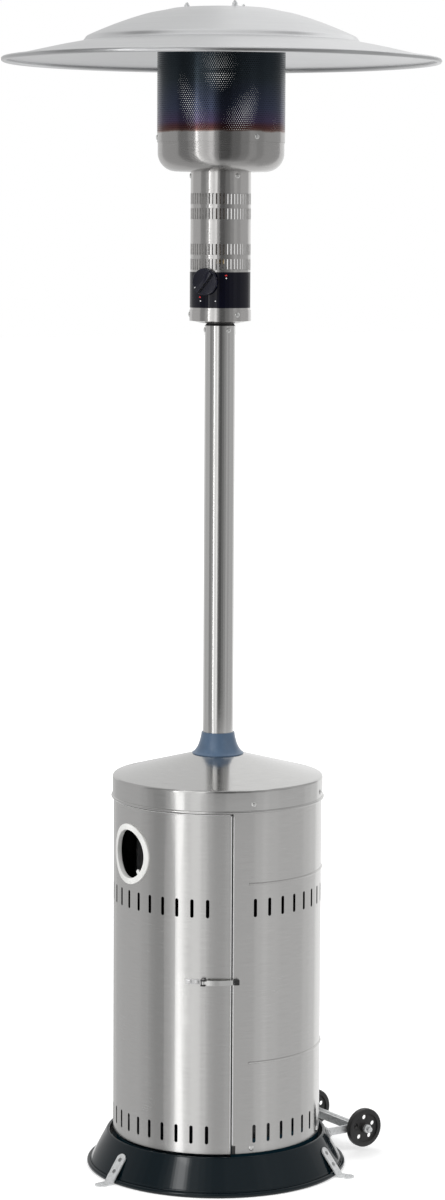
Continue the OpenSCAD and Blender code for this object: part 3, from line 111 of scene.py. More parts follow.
def put(tree, kind, inputs=None, **settings):
    """Adds a shader node, sets it up, and links or fills its inputs."""
    node = tree.nodes.new("ShaderNode" + kind)
    for key, value in settings.items():
        setattr(node, key, value)
    for key, value in (inputs or {}).items():
        if isinstance(value, bpy.types.NodeSocket):
            tree.links.new(value, node.inputs[key])
        else:
            node.inputs[key].default_value = value
    return node


def maths(tree, operation, a, b):
    return put(tree, "Math", {0: a, 1: b}, operation=operation).outputs[0]


def times(tree, a, b):
    return maths(tree, "MULTIPLY", a, b)


def strayed(tree, middle, value, share):
    """A middle value, moved by a share of what another value strays from a half."""
    return maths(tree, "ADD", middle, times(tree, maths(tree, "SUBTRACT", value, 0.5), share))


def ranged(tree, value, low, high, to_low=0.0, to_high=1.0):
    """A value carried from one span over to another."""
    span = {"Value": value, "From Min": low, "From Max": high, "To Min": to_low, "To Max": to_high}
    return put(tree, "MapRange", span).outputs["Result"]


def noise(tree, spot, scale, detail, roughness, distortion=0.0):
    inputs = {"Vector": spot, "Scale": scale, "Detail": detail, "Roughness": roughness, "Distortion": distortion}
    return put(tree, "TexNoise", inputs).outputs["Fac"]


def own_place(tree):
    return put(tree, "TexCoord").outputs["Object"]


def split(tree, vector):
    return put(tree, "SeparateXYZ", {0: vector}).outputs


def axis_reach(tree, xyz):
    """Distance from the heater's upright axis."""
    across = put(tree, "CombineXYZ", {0: xyz[0], 1: xyz[1]}).outputs[0]
    return put(tree, "VectorMath", {0: across}, operation="LENGTH").outputs["Value"]


# Shared effects: each function fills a node group and gives its outputs by name


def turned_grain(tree, given):
    """Fine scratches that run round the heater's upright axis."""
    xyz = split(tree, own_place(tree))
    turn = maths(tree, "ARCTAN2", xyz[1], xyz[0])
    climb = maths(tree, "ADD", xyz[2], times(tree, axis_reach(tree, xyz), 0.83))
    stretched = {0: times(tree, turn, given["Breaks"]), 1: times(tree, climb, given["Fineness"])}
    spot = put(tree, "CombineXYZ", stretched).outputs[0]
    return {"Line": strayed(tree, 0.5, noise(tree, spot, 1.0, 3.0, 0.65), given["Contrast"])}


def smudges(tree, given):
    """Slow cloudy change between two values, as handling and rain leave."""
    cloud = noise(tree, own_place(tree), given["Scale"], 4.0, 0.6, 0.4)
    return {"Value": ranged(tree, cloud, 0.3, 0.7, given["Low"], given["High"])}


def fine_grain(tree, given):
    """Small even bumps, as on moulded plastic, paint and enamel."""
    return {"Height": noise(tree, own_place(tree), given["Scale"], 2.0, given["Soft"])}


def spangle(tree, given):
    """Zinc crystals: flat patches of slightly different brightness."""
    cells = put(tree, "TexVoronoi", {"Vector": own_place(tree), "Scale": given["Scale"]})
    grey = split(tree, cells.outputs["Color"])[0]
    return {"Value": strayed(tree, 0.5, grey, given["Contrast"]), "Height": grey}


def settled_dust(tree, given):
    """Pale film on faces that look up, thicker near the ground."""
    spot = own_place(tree)
    facing = split(tree, put(tree, "NewGeometry").outputs["Normal"])[2]
    near = ranged(tree, split(tree, spot)[2], 0.0, given["Reach"], 1.0, 0.3)
    lying = times(tree, maths(tree, "MAXIMUM", facing, 0.12), noise(tree, spot, 60.0, 5.0, 0.7))
    return {"Mask": times(tree, times(tree, lying, near), given["Amount"])}


def inner_side(tree, given):
    """Mask that is 1 on the side of a round wall that lies nearer to the axis than a radius."""
    reach = axis_reach(tree, split(tree, own_place(tree)))
    return {"Mask": maths(tree, "LESS_THAN", reach, given["Radius"])}


EFFECTS = {}
FINISHES = {}


def make_effect(fill, inputs):
    """A shader node group with named inputs and outputs."""
    tree = bpy.data.node_groups.new(fill.__name__.replace("_", " ").capitalize(), "ShaderNodeTree")
    for name, value in inputs.items():
        tree.interface.new_socket(name=name, in_out="INPUT", socket_type="NodeSocketFloat").default_value = value
    results = fill(tree, tree.nodes.new("NodeGroupInput").outputs)
    for name in results:
        tree.interface.new_socket(name=name, in_out="OUTPUT", socket_type="NodeSocketFloat")
    out = tree.nodes.new("NodeGroupOutput").inputs
    for name, value in results.items():
        tree.links.new(value, out[name])
    return tree


def effect(tree, fill, **values):
    """Outputs of a shared effect, built once and placed in a material with its own values."""
    if fill not in EFFECTS:
        EFFECTS[fill] = make_effect(fill, values)
    node = tree.nodes.new("ShaderNodeGroup")
    node.node_tree = EFFECTS[fill]
    for key, value in values.items():
        node.inputs[key].default_value = value
    return node.outputs


def grain(tree, fineness, breaks, contrast):
    return effect(tree, turned_grain, Fineness=fineness, Breaks=breaks, Contrast=contrast)["Line"]


def film(tree, scale, low=0.0, high=1.0):
    return effect(tree, smudges, Scale=scale, Low=low, High=high)["Value"]


def grit(tree, scale, soft=0.5):
    return effect(tree, fine_grain, Scale=scale, Soft=soft)["Height"]


def dusty(tree, base, amount, reach, tone):
    """A colour under settled dust of another colour."""
    return mixed(tree, effect(tree, settled_dust, Amount=amount, Reach=reach)["Mask"], base, tone)


# Finishes


def start_finish(name, metallic, **constants):
    """A material's tree and shader; values that are the same all over sit on the shader's sockets."""
    material = bpy.data.materials.new(name)
    material.use_nodes = True
    shader = material.node_tree.nodes["Principled BSDF"]
    for key, value in {"Metallic": metallic, **constants}.items():
        shader.inputs[key.replace("_", " ")].default_value = value
    FINISHES[name] = material
    return material.node_tree, shader


def end_finish(tree, shader, base, rough, height, strength, distance):
    """Links what changes over the surface: colour, roughness and the height of its bumps."""
    bumps = put(tree, "Bump", {"Height": height, "Strength": strength, "Distance": distance})
    for key, value in {"Base Color": base, "Roughness": rough, "Normal": bumps.outputs["Normal"]}.items():
        tree.links.new(value, shader.inputs[key])


def scaled(rgb, share):
    return tuple(min(1.0, c * share) for c in rgb)


def mixed(tree, factor, first, second):
    """A colour that runs from one to another as a factor goes from 0 to 1; both may be sockets."""
    a, b = (end if isinstance(end, bpy.types.NodeSocket) else (*end, 1) for end in (first, second))
    return put(tree, "Mix", {"Factor": factor, "A": a, "B": b}, data_type="RGBA").outputs["Result"]


def tinted(tree, value, rgb, spread):
    """A colour that a value makes a little darker or lighter."""
    return mixed(tree, value, scaled(rgb, 1 - spread), scaled(rgb, 1 + spread))


# Painted shade: a near black steel colour for the inner side of the cabinet's wall.
INSIDE_SHADE_STEEL = (0.07, 0.072, 0.075)
PLASTIC_DUST = (0.32, 0.3, 0.28)
ENAMEL_DUST = (0.3, 0.3, 0.29)
SWIRL_TURN = 0.25


def brushed(name, rgb, rough, fineness=1500.0, breaks=5.0, swirl=0.7, spread=0.1, depth=0.15, shade_inside=0.0):
    """Sheet metal whose grain runs round the heater, and which is painted dark inside a radius: painted shade inside
    the cabinet.
    """
    tree, shader = start_finish(name, 1.0, Anisotropic=swirl, Anisotropic_Rotation=SWIRL_TURN)
    line = grain(tree, fineness, breaks, 1.6)
    base = tinted(tree, line, rgb, spread)
    if shade_inside:
        # Painted shade: the inner side of the wall gets the near black colour instead of the steel's own.
        base = mixed(tree, effect(tree, inner_side, Radius=shade_inside)["Mask"], base, INSIDE_SHADE_STEEL)
    end_finish(tree, shader, base, strayed(tree, film(tree, 7.0, *rough), line, 0.12), line, depth, 0.00002)


def plated(name, rgb, rough, scale, spread=0.12, depth=0.1):
    """Plain machined, plated or painted metal with a cloudy film and fine grit."""
    tree, shader = start_finish(name, 1.0)
    base = tinted(tree, film(tree, scale), rgb, spread)
    end_finish(tree, shader, base, film(tree, 0.7 * scale, *rough), grit(tree, 900.0), depth, 0.00005)


def galvanised(name, rgb, rough, scale=260.0):
    """Zinc on strip, nuts and washers, with its crystals."""
    tree, shader = start_finish(name, 0.55)
    cell = effect(tree, spangle, Scale=scale, Contrast=0.5)
    uneven = maths(tree, "ADD", film(tree, 50.0, *rough), times(tree, cell["Value"], 0.12))
    end_finish(tree, shader, tinted(tree, cell["Value"], rgb, 0.22), uneven, cell["Height"], 0.15, 0.00008)


def moulded(name, rgb, rough, fineness=1400.0, depth=0.25, dust=0.0, **constants):
    """Moulded plastic or rubber, with a fine eroded surface and some dust on what looks up."""
    tree, shader = start_finish(name, 0.0, **constants)
    base = tinted(tree, film(tree, 18.0), rgb, 0.12)
    if dust:
        base = dusty(tree, base, dust, 0.2, PLASTIC_DUST)
    end_finish(tree, shader, base, film(tree, 30.0, *rough), grit(tree, fineness), depth, 0.00006)


def enamelled(name, rgb, rough, dust, coat):
    """Gloss enamel over sheet: slight orange peel, clear coat and settled dust."""
    tree, shader = start_finish(name, 0.0, Specular_IOR_Level=0.04, Coat_Weight=coat, Coat_Roughness=0.06)
    base = dusty(tree, rgb, dust, 0.07, ENAMEL_DUST)
    end_finish(tree, shader, base, film(tree, 14.0, *rough), grit(tree, 420.0, 0.3), 0.06, 0.0001)


def spun(name, rgb, rough):
    """Satin spun aluminium with faint rings from the spinning roller."""
    tree, shader = start_finish(name, 1.0, Anisotropic=0.3, Anisotropic_Rotation=SWIRL_TURN)
    rings, fine = grain(tree, 260.0, 0.6, 1.4), grain(tree, 2200.0, 3.0, 1.4)
    uneven = strayed(tree, film(tree, 5.0, *rough), fine, 0.1)
    end_finish(tree, shader, tinted(tree, rings, rgb, 0.05), uneven, rings, 0.12, 0.0002)


HEAT_FROM, HEAT_TO = 1.952, 2.05
HEAT_STEPS = (
    (1.955, (0.22, 0.14, 0.12)),
    (1.958, (0.13, 0.06, 0.055)),
    (1.964, (0.1, 0.045, 0.055)),
    (1.972, (0.08, 0.06, 0.12)),
    (1.995, (0.055, 0.065, 0.11)),
)


def heat_tinted(name, plain, hot):
    """Steel that heat has coloured by height, from plain to blue black, and dull on its inner side."""
    tree, shader = start_finish(name, 1.0, Anisotropic=0.5, Anisotropic_Rotation=SWIRL_TURN)
    height = split(tree, own_place(tree))[2]
    cloudy = maths(tree, "ADD", height, film(tree, 24.0, -0.0016, 0.0016))
    band = put(tree, "ValToRGB", {"Fac": ranged(tree, cloudy, HEAT_FROM, HEAT_TO)})
    tones = band.color_ramp.elements
    tones[0].color, tones[1].color = (*plain, 1), (*hot, 1)
    for z, tone in HEAT_STEPS:
        tones.new((z - HEAT_FROM) / (HEAT_TO - HEAT_FROM)).color = (*tone, 1)
    inner = effect(tree, inner_side, Radius=(SCREEN_R - SCREEN_T / 2) * MM)["Mask"]
    scorched = ranged(tree, height, HEAT_FROM, HEAT_FROM + 0.01, 0.15, 0.2)
    rough = maths(tree, "ADD", scorched, times(tree, inner, 0.5))
    rough = maths(tree, "ADD", film(tree, 30.0, 0.0, 0.07), rough)
    end_finish(tree, shader, band.outputs["Color"], rough, grit(tree, 700.0), 0.1, 0.00005)


def make_finishes():
    """A material for each of the record's slots, the rolled edges and the marks."""
    c = colours()
    enamelled("foot_enamel", c.enamel, (0.12, 0.22), dust=0.004, coat=0.5)
    enamelled("floor_enamel", scaled(c.enamel, 3.0), (0.3, 0.45), dust=0.2, coat=0.1)
    galvanised("zinc_strap", c.zinc, (0.3, 0.42))
    galvanised("galvanised", scaled(c.zinc, 1.08), (0.28, 0.4), scale=190.0)
    plated("zinc_screw", scaled(c.zinc, 0.5), (0.2, 0.34), scale=300.0)
    plated("bright_screw", (0.85, 0.85, 0.84), (0.2, 0.3), scale=300.0)
    plated("frame_steel", (0.36, 0.365, 0.37), (0.32, 0.48), scale=26.0, spread=0.16)
    plated("hinge_steel", (0.55, 0.55, 0.55), (0.25, 0.4), scale=120.0)
    plated("gas_brass", c.brass, (0.2, 0.34), scale=150.0)
    plated("valve_cast", (0.5, 0.5, 0.49), (0.4, 0.55), scale=90.0, depth=0.4)
    plated("pipe_copper", c.copper, (0.22, 0.36), scale=60.0, spread=0.2)
    plated("burner_steel", (0.4, 0.37, 0.34), (0.35, 0.5), scale=50.0, spread=0.25)
    brushed("lid_steel", c.lid, (0.13, 0.2), fineness=1300.0, breaks=4.0, swirl=0.5)
    # The beads' steel is the cabinet's sheet made much lighter: a painted highlight along the rolled edges.
    brushed("highlit_bead_steel", (0.93, 0.925, 0.915), (0.3, 0.4), swirl=0.3)
    # Inside this radius the cabinet's steel is painted dark, as painted shade.
    brushed("cabinet_steel", c.cabinet, (0.18, 0.25), swirl=0.75, shade_inside=0.1966)
    brushed("latch_steel", (0.68, 0.68, 0.67), (0.14, 0.24), fineness=2400.0, swirl=0.5)
    brushed("pole_steel", c.pole, (0.1, 0.17), fineness=1800.0, breaks=3.0, swirl=0.5, spread=0.05, depth=0.08)
    brushed("head_steel", c.head, (0.16, 0.24), fineness=2000.0, breaks=3.0, swirl=0.6)
    brushed("bowl_steel", scaled(c.head, 0.75), (0.22, 0.28), fineness=1700.0, breaks=3.0, swirl=0.85)
    heat_tinted("screen_steel", scaled(c.head, 0.75), c.heated)
    spun("reflector_aluminium", c.aluminium, (0.3, 0.38))
    moulded("bumper_rubber", (0.03, 0.03, 0.03), (0.6, 0.8))
    moulded("latch_black", c.plastic, (0.3, 0.45), dust=0.05)
    moulded("ring_plastic", c.white, (0.28, 0.4), depth=0.12, dust=0.05)
    moulded("collar_blue", c.collar, (0.3, 0.42), depth=0.15, dust=0.04, Coat_Weight=0.3, Coat_Roughness=0.2)
    moulded("plug_black", scaled(c.plastic, 1.3), (0.35, 0.5))
    gloss = {"Specular_IOR_Level": 0.02, "Coat_Weight": 0.55, "Coat_Roughness": 0.04}
    moulded("label_black", c.label, (0.2, 0.3), fineness=2600.0, depth=0.03, **gloss)
    moulded("knob_black", scaled(c.label, 1.6), (0.13, 0.2), depth=0.06, dust=0.01)
    moulded("ceramic_white", (0.75, 0.74, 0.7), (0.2, 0.35))
    moulded("switch_black", c.plastic, (0.35, 0.5))
    moulded("wheel_plastic", c.plastic, (0.4, 0.55), dust=0.25)
    moulded("mark_white", (0.85, 0.85, 0.85), (0.35, 0.45), depth=0.05)
    moulded("mark_red", c.mark, (0.35, 0.45), depth=0.05)


def finish_of(slot):
    if not FINISHES:
        make_finishes()
    return FINISHES[slot]


# Pieces and meshes


def add_object(name, data):
    obj = bpy.data.objects.new(name, data)
    bpy.context.scene.collection.objects.link(obj)
    return obj


def place(name, mesh, slot, *nodes, body="stand", sharp=50.0, record_slot=None):
    """A finished piece that rides on a body, and stands for the nodes that are named."""
    mesh.materials.append(finish_of(slot))
    mesh.shade_smooth()
    mesh.set_sharp_from_angle(angle=math.radians(sharp))
    obj = add_object(name, mesh)
    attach(obj, body)
    if nodes:
        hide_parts(*nodes)


def coat(slot, *nodes):
    """Gives CAD nodes whose form is right their finish."""
    for node in nodes:
        materials = CAD[node].data.materials
        for i in range(len(materials)):
            materials[i] = finish_of(slot)
        if not materials:
            materials.append(finish_of(slot))


def to_mesh(name, bm):
    mesh = bpy.data.meshes.new(name)
    bm.to_mesh(mesh)
    bm.free()
    return mesh


def mesh_from(name, bm):
    """Turns a bmesh into a mesh with its faces looking outwards."""
    bmesh.ops.recalc_face_normals(bm, faces=bm.faces)
    return to_mesh(name, bm)


def at(azimuth, radius, z=0.0):
    """Point at an azimuth in degrees, where 0 is the front of the cabinet's door."""
    a = math.radians(azimuth)
    return Vector((radius * math.sin(a), -radius * math.cos(a), z))


def polar(turn, radius, z):
    """Point in metres, from a turn in radians and a radius and height in mm."""
    return radius * MM * math.cos(turn), radius * MM * math.sin(turn), z * MM


def quadratic(start, lean, end, n):
    """Points of a bend between two ends that leans towards a third point."""
    steps = [i / n for i in range(n + 1)]
    blend = [((1 - t) ** 2, 2 * t * (1 - t), t * t) for t in steps]
    return [tuple(a * i + b * j + c * k for a, b, c in zip(start, lean, end)) for i, j, k in blend]


def arc(centre, radius, start, end, n):
    """Points of an arc in the outline's plane, in degrees."""
    turns = [math.radians(start + (end - start) * i / n) for i in range(n + 1)]
    return [(centre[0] + radius * math.cos(a), centre[1] + radius * math.sin(a)) for a in turns]


def flowing(points, per):
    """A smooth line through points, as a roller follows its former."""
    line = []
    for i in range(len(points) - 1):
        near = [points[min(max(i + k, 0), len(points) - 1)] for k in (-1, 0, 1, 2)]
        g0, g1, g2 = (max(math.dist(a, b), 1e-6) ** 0.5 for a, b in zip(near, near[1:]))
        for t in (s / per for s in range(per)):
            point = []
            for p0, p1, p2, p3 in zip(*near):
                m1 = (p2 - p1) + g1 * ((p1 - p0) / g0 - (p2 - p0) / (g0 + g1))
                m2 = (p2 - p1) + g1 * ((p3 - p2) / g2 - (p3 - p1) / (g1 + g2))
                a = 2 * (p1 - p2) + m1 + m2
                b = -3 * (p1 - p2) - 2 * m1 - m2
                point.append(((a * t + b) * t + m1) * t + p1)
            line.append(tuple(point))
    return line + [points[-1]]


def bridge(bm, one, two, closed=True):
    """Faces between two rows of corners; a row of one corner is a tip."""
    count = max(len(one), len(two))
    for i in range(count if closed else count - 1):
        j = (i + 1) % count
        if len(one) == 1:
            bm.faces.new((one[0], two[i], two[j]))
        elif len(two) == 1:
            bm.faces.new((one[i], one[j], two[0]))
        else:
            bm.faces.new((one[i], one[j], two[j], two[i]))


def bridge_all(bm, rows, closed=True):
    for one, two in zip(rows, rows[1:]):
        bridge(bm, one, two, closed)


def lathe(name, outline, steps, closed=True):
    """Spins an outline of (radius, height) points in mm round the upright axis."""
    bm = bmesh.new()
    rings = []
    for r, z in outline:
        turns = [2 * math.pi * i / steps for i in range(steps)] if r else [0.0]
        rings.append([bm.verts.new(polar(turn, r, z)) for turn in turns])
    bridge_all(bm, rings + rings[:1] if closed else rings)
    return mesh_from(name, bm)


def welded(node):
    """A CAD node as a bmesh whose faces share their corners."""
    bm = bmesh.new()
    bm.from_mesh(CAD[node].data)
    bmesh.ops.remove_doubles(bm, verts=bm.verts, dist=1e-6)
    return bm


def loose_parts(node):
    """Corner points of each separate solid in a CAD node."""
    bm = welded(node)
    seen, parts = set(), []
    for first in bm.verts:
        if first in seen:
            continue
        seen.add(first)
        part, queue = [], [first]
        while queue:
            corner = queue.pop()
            part.append(corner.co.copy())
            for edge in corner.link_edges:
                other = edge.other_vert(corner)
                if other not in seen:
                    seen.add(other)
                    queue.append(other)
        parts.append(part)
    bm.free()
    return parts


def softened(node, wide):
    """A copy of a CAD node's mesh with whole flat faces and its hard edges slightly round."""
    bm = welded(node)
    bmesh.ops.dissolve_limit(bm, angle_limit=math.radians(1.0), verts=bm.verts, edges=bm.edges)
    bmesh.ops.recalc_face_normals(bm, faces=bm.faces)
    hard = math.radians(28.0)
    bmesh.ops.bevel(
        bm,
        geom=[e for e in bm.edges if len(e.link_faces) == 2 and e.calc_face_angle(0) > hard],
        offset=wide * sizes().edge, offset_type="OFFSET", clamp_overlap=True,
        segments=2, profile=0.6, affect="EDGES",
    )
    return to_mesh(node + "_soft", bm)


def soften(node, slot, wide=1.0, body="stand", sharp=50.0):
    """Replaces a CAD node by the same form with rounded edges, so many times the usual round."""
    place(node + "_finished", softened(node, wide), slot, node, body=body, sharp=sharp)


# Screws


STRAP_AZIMUTHS, STRAP_REACH = (4.0, 124.0, 244.0), 12.0
STRAP_TILT, FOOT_TILT = 35.05, 28.2
HEAD_H, FLAT_HEAD_H, FLAT_HEAD_R, FLAT_DOME = 2.2, 1.1, 4.0, 0.35
THREAD_R, ROOT_R, TIP_R = 2.0, 1.65, 1.2
THREADS, FLANK_H = 5, 0.45
CROSS_REACH, CROSS_DEPTH, CROSS_TAPER = 0.56, 0.62, 0.45


def screw_outline(head_r, head_h, body_l, dome):
    """Domed head, threads and tip of a screw, from the top of its head down."""
    turns = [math.radians(a) for a in (15, 30, 45, 60, 72, 82, 90)]
    head = [(head_r * math.sin(a), -head_h * dome * (1 - math.cos(a))) for a in turns]
    thread = []
    for i in range(THREADS):
        z = -head_h - (body_l - head_h) * (i + 0.5) / (THREADS + 0.5)
        thread += [(THREAD_R, z), (ROOT_R, z - FLANK_H)]
    return [(0, 0)] + head + [(head_r, -head_h), (THREAD_R, -head_h)] + thread + [(TIP_R, -body_l), (0, -body_l)]


def screw_mesh(head_r, head_h, body_l, dome):
    """A screw along Z with the top of its head at the origin, and a cross cut into the head."""
    outline = screw_outline(head_r, head_h, body_l, dome)
    blank = add_object("screw_blank", lathe("screw_blank", outline, 28, closed=False))
    bm = bmesh.new()
    reach, deep = head_r * MM * CROSS_REACH, head_h * MM * CROSS_DEPTH
    for turn in (0, 90):
        bar = bmesh.ops.create_cube(bm, size=1.0)["verts"]
        for v in bar:
            lower = v.co.z < 0
            taper = CROSS_TAPER if lower else 1.0
            v.co = Vector((v.co.x * 2 * reach * taper, v.co.y * sizes().recess_w, -deep if lower else deep))
        bmesh.ops.rotate(bm, verts=bar, cent=(0, 0, 0), matrix=Matrix.Rotation(math.radians(turn), 3, "Z"))
    cross = add_object("screw_cross", mesh_from("screw_cross", bm))
    cutter = blank.modifiers.new("cross", "BOOLEAN")
    cutter.operation, cutter.object, cutter.solver = "DIFFERENCE", cross, "EXACT"
    cutter.use_self = True
    bpy.context.view_layer.update()
    result = bpy.data.meshes.new_from_object(blank.evaluated_get(bpy.context.evaluated_depsgraph_get()))
    bpy.data.objects.remove(blank)
    bpy.data.objects.remove(cross)
    return result


def foot_tilt(azimuth):
    """Slope of a screw in the foot: square to a ground bracket's strap, or square to the foot itself."""
    on_strap = any(abs((azimuth - a + 180) % 360 - 180) < STRAP_REACH for a in STRAP_AZIMUTHS)
    return math.radians(STRAP_TILT if on_strap else FOOT_TILT)


def screw_places(node, flat):
    """Where each screw of a node has the top of its head, as a matrix whose Z points out, and its length."""
    places = []
    for part in loose_parts(node):
        centre = sum(part, Vector()) / len(part)
        azimuth = math.degrees(math.atan2(centre.x, -centre.y))
        lean = foot_tilt(azimuth) if flat else 0.0
        out, side = at(azimuth, math.cos(lean), math.sin(lean)), at(azimuth + 90, 1.0)
        ways = (side, out.cross(side), out)
        reaches = [[p.dot(way) for p in part] for way in ways]
        (left, right), (low, high), (tip, top) = ((min(reach), max(reach)) for reach in reaches)
        spot = side * (left + right) / 2 + ways[1] * (low + high) / 2 + out * top
        places.append((Matrix.Translation(spot) @ Matrix(ways).transposed().to_4x4(), (top - tip) / MM))
    return places


def screws_for(node, slot="bright_screw", flat=False):
    """Replaces a node's screws by ones with a cross recess, each turned a little differently."""
    bm = bmesh.new()
    places = screw_places(node, flat)
    head = (FLAT_HEAD_R, FLAT_HEAD_H) if flat else (sizes().head_r / MM, HEAD_H)
    master = screw_mesh(*head, places[0][1], FLAT_DOME if flat else 1.0)
    for i, (matrix, _) in enumerate(places):
        part = master.copy()
        part.transform(matrix @ Matrix.Rotation(math.radians(23 + 37 * i), 4, "Z"))
        bm.from_mesh(part)
        bpy.data.meshes.remove(part)
    bpy.data.meshes.remove(master)
    place(node + "_heads", to_mesh(node + "_heads", bm), slot, node, sharp=38.0)


# Spun and pressed forms, in mm


REFLECTOR_R, REFLECTOR_Z, REFLECTOR_FALL, REFLECTOR_T = 402.0, 2180.3, 92.75, 1.4
ROLL_CENTRE, ROLL_R = (402.0, 2085.3), 4.5
REFLECTOR_SHARES = (
    (0.0, 0.0), (0.2, 0.0), (0.225, 0.01), (0.28, 0.06), (0.348, 0.12), (0.45, 0.26), (0.54, 0.41),
    (0.612, 0.545), (0.62, 0.565), (0.638, 0.66), (0.65, 0.675), (0.75, 0.76), (0.89, 0.895), (0.945, 0.947),
)


def reflector_outline():
    """Crown, step and brim of the reflector, with the rolled rim, as one spun sheet."""
    knots = [(REFLECTOR_R * r, REFLECTOR_Z - REFLECTOR_FALL * f) for r, f in REFLECTOR_SHARES]
    top = [knots[0]] + flowing(knots[1:], 6)
    under = [(r, z - REFLECTOR_T) for r, z in reversed(top)]
    return top + arc(ROLL_CENTRE, ROLL_R, 110, 110 - 320, 26) + under


LID_FALL, LID_T = 14.7, 1.2
LID_SHOULDER, LID_SHOULDER_R = (193.7, 749.0), 5.0


def lid_outline():
    """Straight cone, rounded shoulder, skirt and bead of the cabinet's lid."""
    top = quadratic((29.6, 797.6), (38.0, 795.0), (48.5, 792.3), 3)
    shoulder = arc(LID_SHOULDER, LID_SHOULDER_R, 90 - LID_FALL, 0, 10)
    bead = arc((198.7, 712.8), 2.8, 90, -90, 12)
    inner = arc(LID_SHOULDER, LID_SHOULDER_R - LID_T, 0, 90 - LID_FALL, 10)
    under = [(r, z - LID_T) for r, z in reversed(top)]
    return top + shoulder + bead + [(197.5, 710.0)] + inner + under


def collar_outline():
    """Flared collar on the lid, round the pole's foot."""
    flank = quadratic((31.1, 833.0), (35.2, 802.0), (48.5, 794.2), 22)
    lip = [(28.6, 833.2), (29.4, 833.6), (30.5, 833.5)]
    return lip + flank + [(48.7, 793.4), (48.4, 792.4), (28.6, 798.9)]


HEAD_PAN = (
    (55.4, 1608.6), (55.0, 1607.2), (33.5, 1602.6), (32.4, 1602.8), (32.3, 1603.8), (33.2, 1604.0), (54.2, 1608.4),
)

SCREEN_R, SCREEN_T = 118.5, 1.0
SCREEN_LEVELS = (1935.3, 1954.5, 2107.0, 2115.3)
CELL = ((1, 0), (1, 1), (0, 1), (-1, 1), (-1, 0), (-1, -1), (0, -1), (1, -1))


def perforated_screen():
    """Screen sheet with a plain foot and staggered rows of real holes; a column is half a cell wide."""
    pitch = sizes().hole_pitch / MM
    hole = arc((0, 0), sizes().hole_d / MM / 2, 0, 315, 7)
    columns = 2 * round(2 * math.pi * SCREEN_R / pitch)
    half_w = 2 * math.pi / columns
    _, low, high, _ = SCREEN_LEVELS
    rows = int((high - low) / (pitch * math.sin(math.radians(60))))
    half_h = (high - low) / rows / 2
    sides = (SCREEN_R, SCREEN_R - SCREEN_T)
    bm = bmesh.new()
    spots = {}

    def corner(column, z, radius):
        key = (column % columns, round(z, 3), radius)
        if key not in spots:
            spots[key] = bm.verts.new(polar(column * half_w, radius, z))
        return spots[key]

    for row in range(rows):
        z = low + (2 * row + 1) * half_h
        for column in range(row % 2, columns, 2):
            rings = []
            for radius in sides:
                edge = [corner(column + x, z + y * half_h, radius) for x, y in CELL]
                rings.append([bm.verts.new(polar(column * half_w + x / SCREEN_R, radius, z + y)) for x, y in hole])
                bridge(bm, edge, rings[-1])
            bridge(bm, *rings)
    outer, inner = ([[corner(i, z, radius) for i in range(columns)] for z in SCREEN_LEVELS] for radius in sides)
    for loops in (outer[:2], outer[2:], inner[:2], inner[2:], (outer[0], inner[0]), (outer[3], inner[3])):
        bridge(bm, *loops)
    return mesh_from("perforated_screen", bm)


def wrapped_patch(bm, points, radius, thick):
    """Adds a thin patch that follows a round wall; points are (way round from the front, height)."""
    face = bm.faces.new([bm.verts.new(at(math.degrees(x / radius), radius * MM, z * MM)) for x, z in points])
    for item in bmesh.ops.extrude_face_region(bm, geom=[face])["geom"]:
        if isinstance(item, bmesh.types.BMVert):
            item.co.xy *= (radius + thick) / radius


CABINET_R = 197.0
DOOR_EDGE_AZIMUTH, PANEL_EDGE_AZIMUTH = 63.95, 65.25
EDGE_BEAD_R = 1.3
TOP_BEAD_REACH, TOP_BEAD_Z, TOP_BEAD_R = 63.4, 708.1, 1.05
BEAD_END = ((0.0, 0.15), (1.0, 0.8), (2.2, 1.0))
TAB_X, TAB_Z, TAB_R, TAB_T = 28.0, 589.0, 195.6, 2.4
TAB_OUTLINE = (
    (-4.4, 1.2), (-4.8, -0.2), (-4.2, -1.6), (-1.0, -5.0), (0.4, -5.6), (1.8, -5.2),
    (4.6, -2.2), (4.8, -0.6), (4.2, 0.8), (0.6, 4.6), (-0.8, 4.9), (-2.0, 4.2),
)


def upright_bead(bm, azimuth, foot, top, bead_r, n=10):
    """Rolled edge of a sheet: a half-round bead that stands on the cabinet's wall, with tapered ends."""
    levels = [(foot + inset * bead_r, share) for inset, share in BEAD_END]
    levels += [(top - inset * bead_r, share) for inset, share in reversed(BEAD_END)]
    lines = []
    for z, share in levels:
        line = []
        for i in range(n + 1):
            a = math.radians(-100 + 200 * i / n)
            r = CABINET_R - 0.2 * bead_r + bead_r * share * math.cos(a)
            turn = azimuth + math.degrees(bead_r * share * math.sin(a) / CABINET_R)
            line.append(bm.verts.new(at(turn, r * MM, z * MM)))
        lines.append(line)
    bridge_all(bm, lines)
    bm.faces.new(lines[0])
    bm.faces.new(lines[-1])


def level_bead(bm, reach, z, wall_r, bead_r, n=12, steps=120):
    """Rolled top edge of a sheet: a round bead that follows the wall between two azimuths."""
    rings = []
    for k in range(steps + 1):
        azimuth = -reach + 2 * reach * k / steps
        spots = arc((wall_r, z), bead_r, 0, 360 - 360 / n, n - 1)
        rings.append([bm.verts.new(at(azimuth, r * MM, height * MM)) for r, height in spots])
    bridge_all(bm, rings)
    bm.faces.new(rings[0])
    bm.faces.new(rings[-1])


LABEL_R, MARK_T = 56.87, 0.12
DOT_R = 1.15
BAR_R, BAR_REACH = 1.25, 1.05


def dot(x, z):
    """Outline of a printed dot."""
    return arc((x, z), DOT_R, 0, 342, 19)


def bar(x, z):
    """Outline of a printed bar with round ends."""
    return arc((x + BAR_REACH, z), BAR_R, -90, 90, 8) + arc((x - BAR_REACH, z), BAR_R, 90, 270, 8)


DOTS = ((dot, 16.1, 1644.3), (dot, 47.3, 1644.3), (dot, 67.5, 1686.3))
BARS = ((bar, 15.0, 1651.4), (bar, 67.1, 1691.4))
KNOB_AZIMUTH = 30.0
POINTER_PLACE = (-0.0182, -0.06765, 1.6688)


